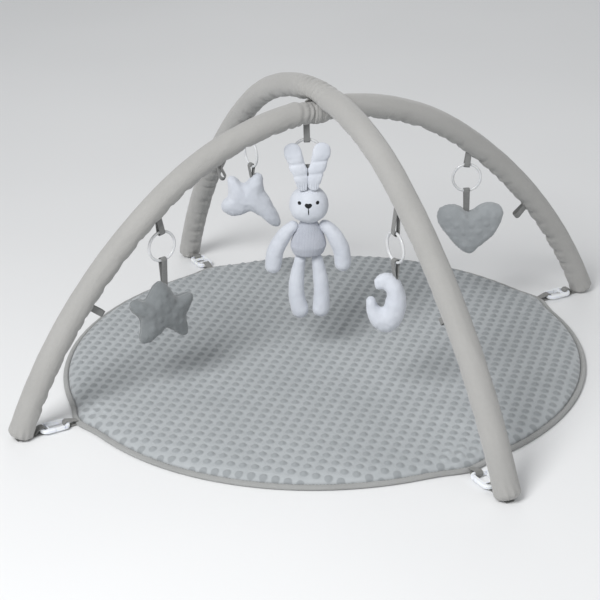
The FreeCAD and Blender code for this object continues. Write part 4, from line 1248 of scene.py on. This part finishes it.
EAR = [(9.2, -15.5, 311.0, 8.9), (12.2, -14.5, 328.0, 12.1), (17.2, -13.5, 346.0, 13.2),
       (22.6, -13.5, 367.0, 13.6)]
ARM = [(25.5, 0.0, 238.0, 9.5), (34.0, 0.0, 230.0, 11.2), (44.0, 0.0, 215.0, 12.9),
       (52.5, 0.0, 196.0, 13.5), (55.5, 0.0, 173.0, 13.5)]
LEFT_LEG = [(-13.0, 0.0, 181.0, 9.3), (-17.5, 0.0, 150.0, 11.8), (-18.0, -2.0, 122.0, 12.8),
            (-12.0, -4.0, 96.0, 14.0)]
RIGHT_LEG = [(14.0, 0.0, 181.0, 9.3), (20.0, 0.0, 150.0, 11.8), (22.5, -2.0, 122.0, 12.8),
             (22.0, -4.0, 97.0, 14.0)]


def mirrored(points, sign):
    return [(sign * x, y, z, size) for x, y, z, size in points]


for side, sign, leg in (("left", -1, LEFT_LEG), ("right", 1, RIGHT_LEG)):
    parts = {"ear": (mirrored(EAR, sign), 0.36, ear_relief, 0.5),
             "arm": (mirrored(ARM, sign), 1.0, limb_relief, 0.7), "leg": (leg, 1.0, limb_relief, 0.7)}
    for part, (points, flatten, relief, fill) in parts.items():
        bm = relieved(soft_part(sweep(limb_stations(points, flatten), 24), cap=2.0), relief)
        node = "rabbit_%s_%s" % (part, side)
        finish_piece(hung(slanting(bm), RABBIT, "toy_turn"), node + "_plush", white_plush, node,
                     (node,))

# %% [markdown]
# The face is embroidered: two small round eyes, a heart-shaped nose and a short mouth, in
# dark satin stitch. Each patch is a low pad laid on the head by dropping its points onto
# the stuffed surface, so it follows the cheeks.

# %% Eyes, nose and mouth
face = BVHTree.FromBMesh(head_faces)


def embroidered(outline, middle, proud=0.75):
    """A low pad of satin stitch; outline gives its half sizes for each direction."""
    bm = bmesh.new()
    bmesh.ops.create_uvsphere(bm, u_segments=24, v_segments=10, radius=1.0)
    for vert in bm.verts:
        size = outline(atan2(vert.co.z, vert.co.x))
        x, z = middle[0] + vert.co.x * size[0], middle[1] + vert.co.z * size[1]
        hit = face.ray_cast(Vector((x, -60, z)), Vector((0, 1, 0)))[0]
        vert.co = Vector((x, hit.y + 0.4 + vert.co.y * (proud + 0.4), z))
    return bm


def nose_shape(turn):
    """A small heart: wide at the top with a dip, and pointed below."""
    down = max(0.0, -sin(turn))
    return 6.3 * (1 - 0.35 * down), 4.8 * (1 - 0.35 * exp(-((turn - pi / 2) / 0.45) ** 2))


patches = [embroidered(lambda turn: (3.0, 3.0), (x, 285.0)) for x in (-14.5, 13.7)]
patches.append(embroidered(nose_shape, (-0.8, 281.5)))
patches.append(embroidered(lambda turn: (1.0, 6.3), (-0.8, 271.5)))
head_faces.free()
finish_piece(hung(joined(patches), RABBIT, "toy_turn"), "rabbit_face_stitching", dark_thread, "rabbit_toy",
             ("rabbit_eyes", "rabbit_nose_and_mouth"), smoothing=0)


# %% [markdown]
# ## Floor and last line
# A wide pale sheet stands in for the studio floor. It isn't part of the gym.

# %% Floor
bm = bmesh.new()
bmesh.ops.create_grid(bm, x_segments=8, y_segments=8, size=9.0)
floor = as_object(bm, "studio_floor")
floor.data.materials.append(
    moulded("studio floor", (0.80, 0.805, 0.81), (0.82, 0.825, 0.83), 0.8, scuff_size=1.0))
